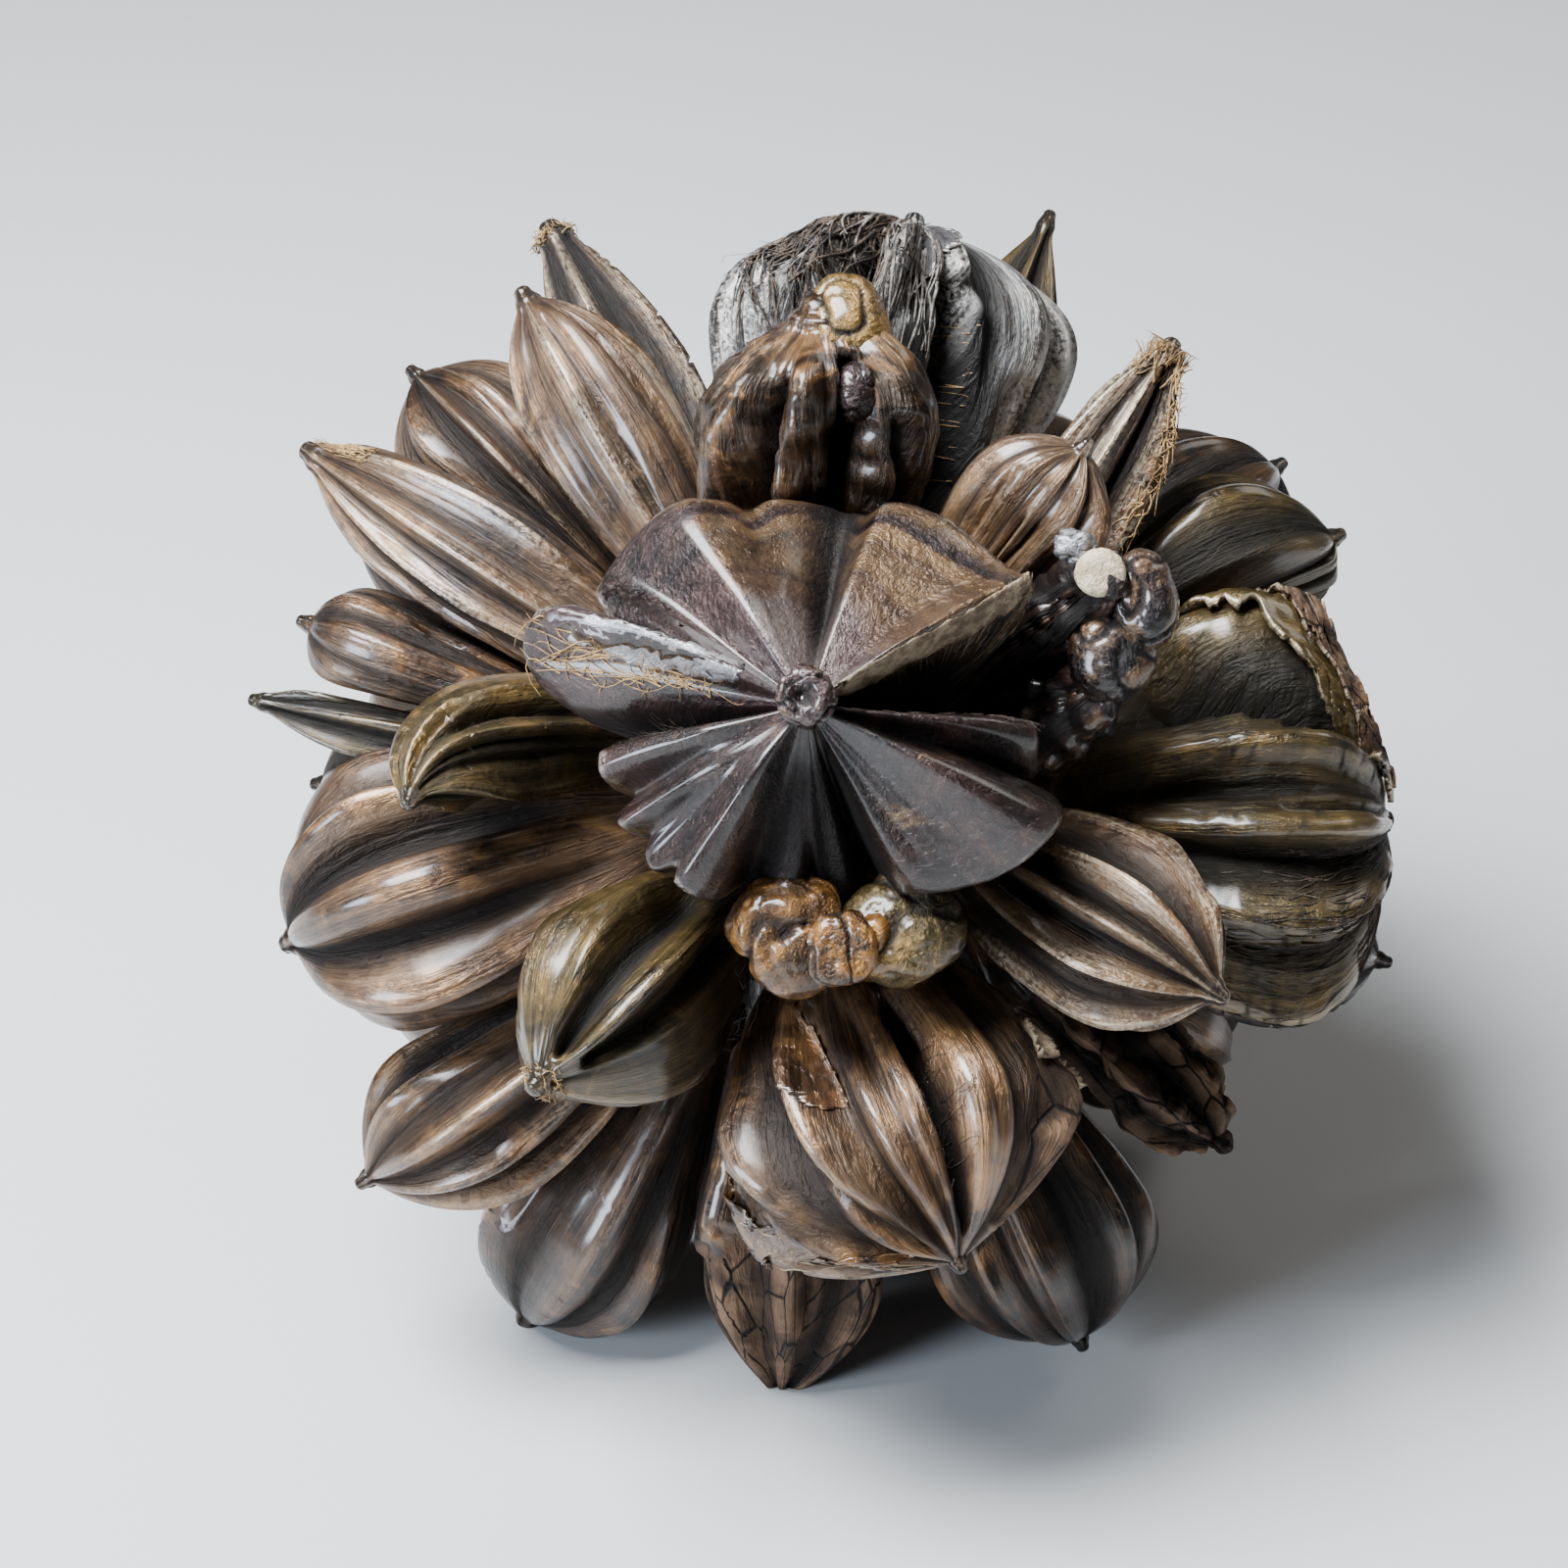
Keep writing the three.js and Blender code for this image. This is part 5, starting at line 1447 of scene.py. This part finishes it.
# What a tuft has unless its own settings say otherwise. Each fibre starts in a patch, runs on
# along and round its fruit, and lifts off. Pairs are the least and the most.
plainTuft = dict(skin="darkFibre", run=(-0.02, 0.1), turn=(-30, 30), lift=(0, 1), rise=(0, 2.5),
                 thick=(0.12, 0.3), bend=3, points=7)
tufts = [
    dict(name="star_gold_fibres", fruit="fruit_star", skin="goldFibre", count=70, seed=21,
         along=(0.72, 0.88), angle=(283, 292), run=(-0.09, 0.05), turn=(-4, 5), lift=(0.1, 1.2),
         thick=(0.12, 0.28)),
    dict(name="star_edge_fuzz", fruit="fruit_star", skin="paleFibre", count=260, seed=22,
         along=(0.66, 0.95), angle=(57.5, 62), run=(-0.01, 0.01), turn=(-3, 4), lift=(0, 0.8),
         rise=(0.3, 1.8), thick=(0.05, 0.12), points=4),
    dict(name="star_lobe_fuzz", fruit="fruit_star", count=260, seed=23, along=(0.67, 0.95),
         angle=(83, 88), run=(-0.02, 0.02), turn=(-6, 3), lift=(0, 0.6), rise=(0.5, 2.5),
         thick=(0.05, 0.12), points=4),
    dict(name="star_cleft_hairs", fruit="fruit_star", count=60, seed=24, along=(0.68, 0.85),
         angle=(266, 274), run=(-0.04, 0.04), turn=(-5, 5), rise=(0, 3), thick=(0.06, 0.14)),
    dict(name="top_strands", fruit="fruit_top", count=150, seed=25, along=(0.82, 0.97), angle=(8, 80),
         run=(-0.36, -0.08), turn=(-14, 10), lift=(0.5, 3), rise=(-1, 2), thick=(0.25, 0.65), points=9),
    dict(name="top_grey_strands", fruit="fruit_top", skin="greyFibre", count=120, seed=26,
         along=(0.8, 0.97), angle=(-20, 90), run=(-0.34, -0.06), turn=(-12, 10), lift=(0.5, 3),
         rise=(-1, 1.5), thick=(0.25, 0.6), points=9),
    dict(name="top_loose_strands", fruit="fruit_top", count=40, seed=37, along=(0.74, 0.93),
         angle=(0, 70), run=(-0.12, 0.05), turn=(-40, 30), lift=(0.5, 3), rise=(-1, 3), bend=9,
         points=9),
    dict(name="top_split_fibres", fruit="fruit_top", skin="goldFibre", count=60, seed=27,
         along=(0.3, 0.72), angle=(302, 322), run=(-0.03, 0.03), turn=(10, 26), lift=(-3, 0),
         rise=(-2, 2), thick=(0.1, 0.2)),
    dict(name="right_flap_fibres", fruit="fruit_right", count=50, seed=28, along=(0.25, 0.5),
         angle=(88, 99), run=(0.1, 0.25), turn=(-5, -2), lift=(2, 5.5), rise=(-1, 1),
         thick=(0.2, 0.45), bend=0.5),
    dict(name="gap_hairs_left", fruit="fruit_left", count=130, seed=40, along=(0.02, 0.2),
         angle=(40, 200), lift=(1, 8), rise=(0, 9), thick=(0.1, 0.25), bend=8),
    dict(name="gap_hairs_upper_left", fruit="fruit_boat", count=90, seed=41, along=(0.02, 0.2),
         angle=(20, 180), lift=(1, 7), rise=(0, 8), thick=(0.1, 0.25), bend=8),
    dict(name="gap_hairs", fruit="fruit_right", count=90, seed=38, along=(0.08, 0.3), angle=(30, 110),
         run=(-0.05, 0.08), turn=(-20, 20), lift=(1, 7), rise=(0, 5), thick=(0.06, 0.14), bend=8),
    dict(name="gap_hairs_low", fruit="fruit_keeled", count=90, seed=39, along=(0.1, 0.35),
         angle=(20, 120), run=(-0.05, 0.08), turn=(-20, 20), lift=(1, 6), rise=(0, 5),
         thick=(0.06, 0.14), bend=8),
    dict(name="right_skin_fibres", fruit="fruit_right", count=220, seed=29, along=(0.45, 0.85),
         angle=(285, 350), run=(0.05, 0.2), turn=(-3, 3), lift=(0.1, 0.4), rise=(0, 0.5), bend=1),
    dict(name="lower_front_groove_hairs", fruit="fruit_lower_front", count=90, seed=30,
         along=(0.3, 0.8), angle=(14, 32), run=(-0.05, 0.05), turn=(-8, 8), lift=(-2, 1), rise=(0, 3),
         thick=(0.06, 0.16)),
    dict(name="lower_front_frill_fibres", fruit="fruit_lower_front", skin="paleFibre", count=60,
         seed=31, along=(0.6, 0.85), angle=(256, 276), run=(0.04, 0.12), turn=(0, 8), lift=(0.2, 1.5),
         rise=(0, 2), bend=1),
    dict(name="frayed_tuft", fruit="fruit_frayed", skin="goldFibre", count=150, seed=32,
         along=(0.88, 0.985), angle=(0, 360), run=(0.01, 0.12), rise=(0, 4)),
    dict(name="frayed_ridge", fruit="fruit_frayed", skin="goldFibre", count=120, seed=33,
         along=(0.55, 0.95), angle=(285, 312), run=(-0.14, 0.05), turn=(-10, 10), lift=(0.3, 2),
         thick=(0.12, 0.28)),
    dict(name="truncated_tuft", fruit="fruit_truncated", skin="goldFibre", count=110, seed=34,
         along=(0.955, 0.995), angle=(0, 360), run=(0.0, 0.03), turn=(-40, 40), rise=(-0.5, 2)),
    dict(name="long_fibres", fruit="fruit_long", skin="goldFibre", count=90, seed=35,
         along=(0.82, 0.93), angle=(300, 330), run=(0.01, 0.08), turn=(-8, 8), lift=(0.1, 1),
         rise=(0, 1)),
    dict(name="keeled_tuft", fruit="fruit_keeled", skin="goldFibre", count=90, seed=36,
         along=(0.93, 0.99), angle=(0, 360), run=(0, 0.03), turn=(-40, 40), rise=(0, 2),
         thick=(0.1, 0.25)),
]
tuftSet = {"seedStep": 0.37, "bendSeed": 5.1, "bendWaves": 5, "risePower": 1.5, "aboveFloor": 0.3,
           "taper": 0.35}


# many thin fibres as one mesh: curves with a square section that taper to the end
def makeFibres(name, lines, thickness, skin):
    curve = bpy.data.curves.new(name, "CURVE")
    curve.dimensions = "3D"
    curve.bevel_depth = 1
    curve.bevel_resolution = 0
    curve.use_fill_caps = True
    for line, radius in zip(lines, thickness):
        spline = curve.splines.new("POLY")
        spline.points.add(len(line) - 1)
        places = np.c_[line / 1000, np.ones(len(line))]
        radii = np.linspace(1, tuftSet["taper"], len(line)) * radius / 1000
        spline.points.foreach_set("co", places.ravel())
        spline.points.foreach_set("radius", radii)
    carrier = bpy.data.objects.new(name, curve)
    mesh = bpy.data.meshes.new_from_object(carrier)
    mesh.name = name
    bpy.data.objects.remove(carrier)
    bpy.data.curves.remove(curve)
    mesh.materials.clear()
    finishPiece(mesh, name, skin)


def makeTuft(tuft):
    body = byName[tuft["fruit"]]
    count, seed = tuft["count"], tuft["seed"]
    share = np.linspace(0, 1, tuft["points"])
    drawn = {}
    for place, key in enumerate(("along", "angle", "run", "turn", "lift", "rise", "thick")):
        low, high = tuft[key]
        drawn[key] = blend(low, high, draw(seed + tuftSet["seedStep"] * place, np.arange(count)))
        drawn[key] = drawn[key][:, None]
    bend = blend(-1, 1, draw(seed + tuftSet["bendSeed"], np.arange(count)))[:, None] * tuft["bend"]
    along = drawn["along"] + drawn["run"] * share
    degrees = drawn["angle"] + drawn["turn"] * share
    degrees = degrees + bend * np.sin(share * tuftSet["bendWaves"] + drawn["angle"])
    lift = drawn["lift"] + drawn["rise"] * share ** tuftSet["risePower"]
    lines = onSkin(body, along, degrees, lift)
    lines[..., 2] = np.maximum(lines[..., 2], tuftSet["aboveFloor"])
    makeFibres(tuft["name"], lines, drawn["thick"].ravel(), tuft["skin"])


for tuft in tufts:
    makeTuft({**plainTuft, **tuft})
print("made the fibres")

# Camera, light and floor. The shift puts the head where the photograph has it.
cameraSet = {"distance": 1.0, "lens": 98.51, "sensor": 36, "aim": head["middle"],
             "shift": (-38 / 1600, 27 / 1600), "nearest": 0.02}
lightSet = [
    {"name": "key", "at": (-0.45, -0.1, 1.1), "size": 0.6, "power": 54, "tint": (0.92, 0.96, 1)},
    {"name": "fill", "at": (-1.2, -0.9, 0.5), "size": 0.5, "power": 28, "tint": (0.74, 0.85, 1)},
    {"name": "rim", "at": (0.7, 0.4, 0.9), "size": 0.5, "power": 3, "tint": (1, 0.97, 0.92)},
]
lightAim = (0, 0, 0.11)
floorSet = {"size": 3, "tint": (0.6, 0.6, 0.6, 1), "rough": 0.7}
skySet = {"tint": (0.75, 0.8, 0.88, 1), "strength": 0.06}


def aimAt(thing, target):
    way = Vector(target) - thing.location
    thing.rotation_euler = way.to_track_quat("-Z", "Y").to_euler()


aim = Vector(cameraSet["aim"]) / 1000
camera = bpy.data.objects.new("camera", bpy.data.cameras.new("camera"))
bpy.context.scene.collection.objects.link(camera)
camera.location = aim + Vector(toPole) * cameraSet["distance"]
aimAt(camera, aim)
camera.data.sensor_width = cameraSet["sensor"]
camera.data.lens = cameraSet["lens"]
camera.data.shift_x, camera.data.shift_y = cameraSet["shift"]
camera.data.clip_start = cameraSet["nearest"]
bpy.context.scene.camera = camera

for lamp in lightSet:
    light = bpy.data.objects.new(lamp["name"], bpy.data.lights.new(lamp["name"], "AREA"))
    bpy.context.scene.collection.objects.link(light)
    light.data.size = lamp["size"]
    light.data.energy = lamp["power"]
    light.data.color = lamp["tint"]
    light.location = lamp["at"]
    aimAt(light, lightAim)

floorForm = bmesh.new()
bmesh.ops.create_grid(floorForm, x_segments=1, y_segments=1, size=floorSet["size"])
floorMesh = bpy.data.meshes.new("floor")
floorForm.to_mesh(floorMesh)
floorForm.free()
floor = bpy.data.objects.new("floor", floorMesh)
bpy.context.scene.collection.objects.link(floor)
floorPaint = bpy.data.materials.new("paleFloor")
floorPaint.use_nodes = True
floorShader = floorPaint.node_tree.nodes["Principled BSDF"]
floorShader.inputs["Base Color"].default_value = floorSet["tint"]
floorShader.inputs["Roughness"].default_value = floorSet["rough"]
floorMesh.materials.append(floorPaint)

world = bpy.data.worlds.new("studio")
bpy.context.scene.world = world
world.use_nodes = True
sky = world.node_tree.nodes["Background"]
sky.inputs["Color"].default_value = skySet["tint"]
sky.inputs["Strength"].default_value = skySet["strength"]
print("made the camera, lights and floor")
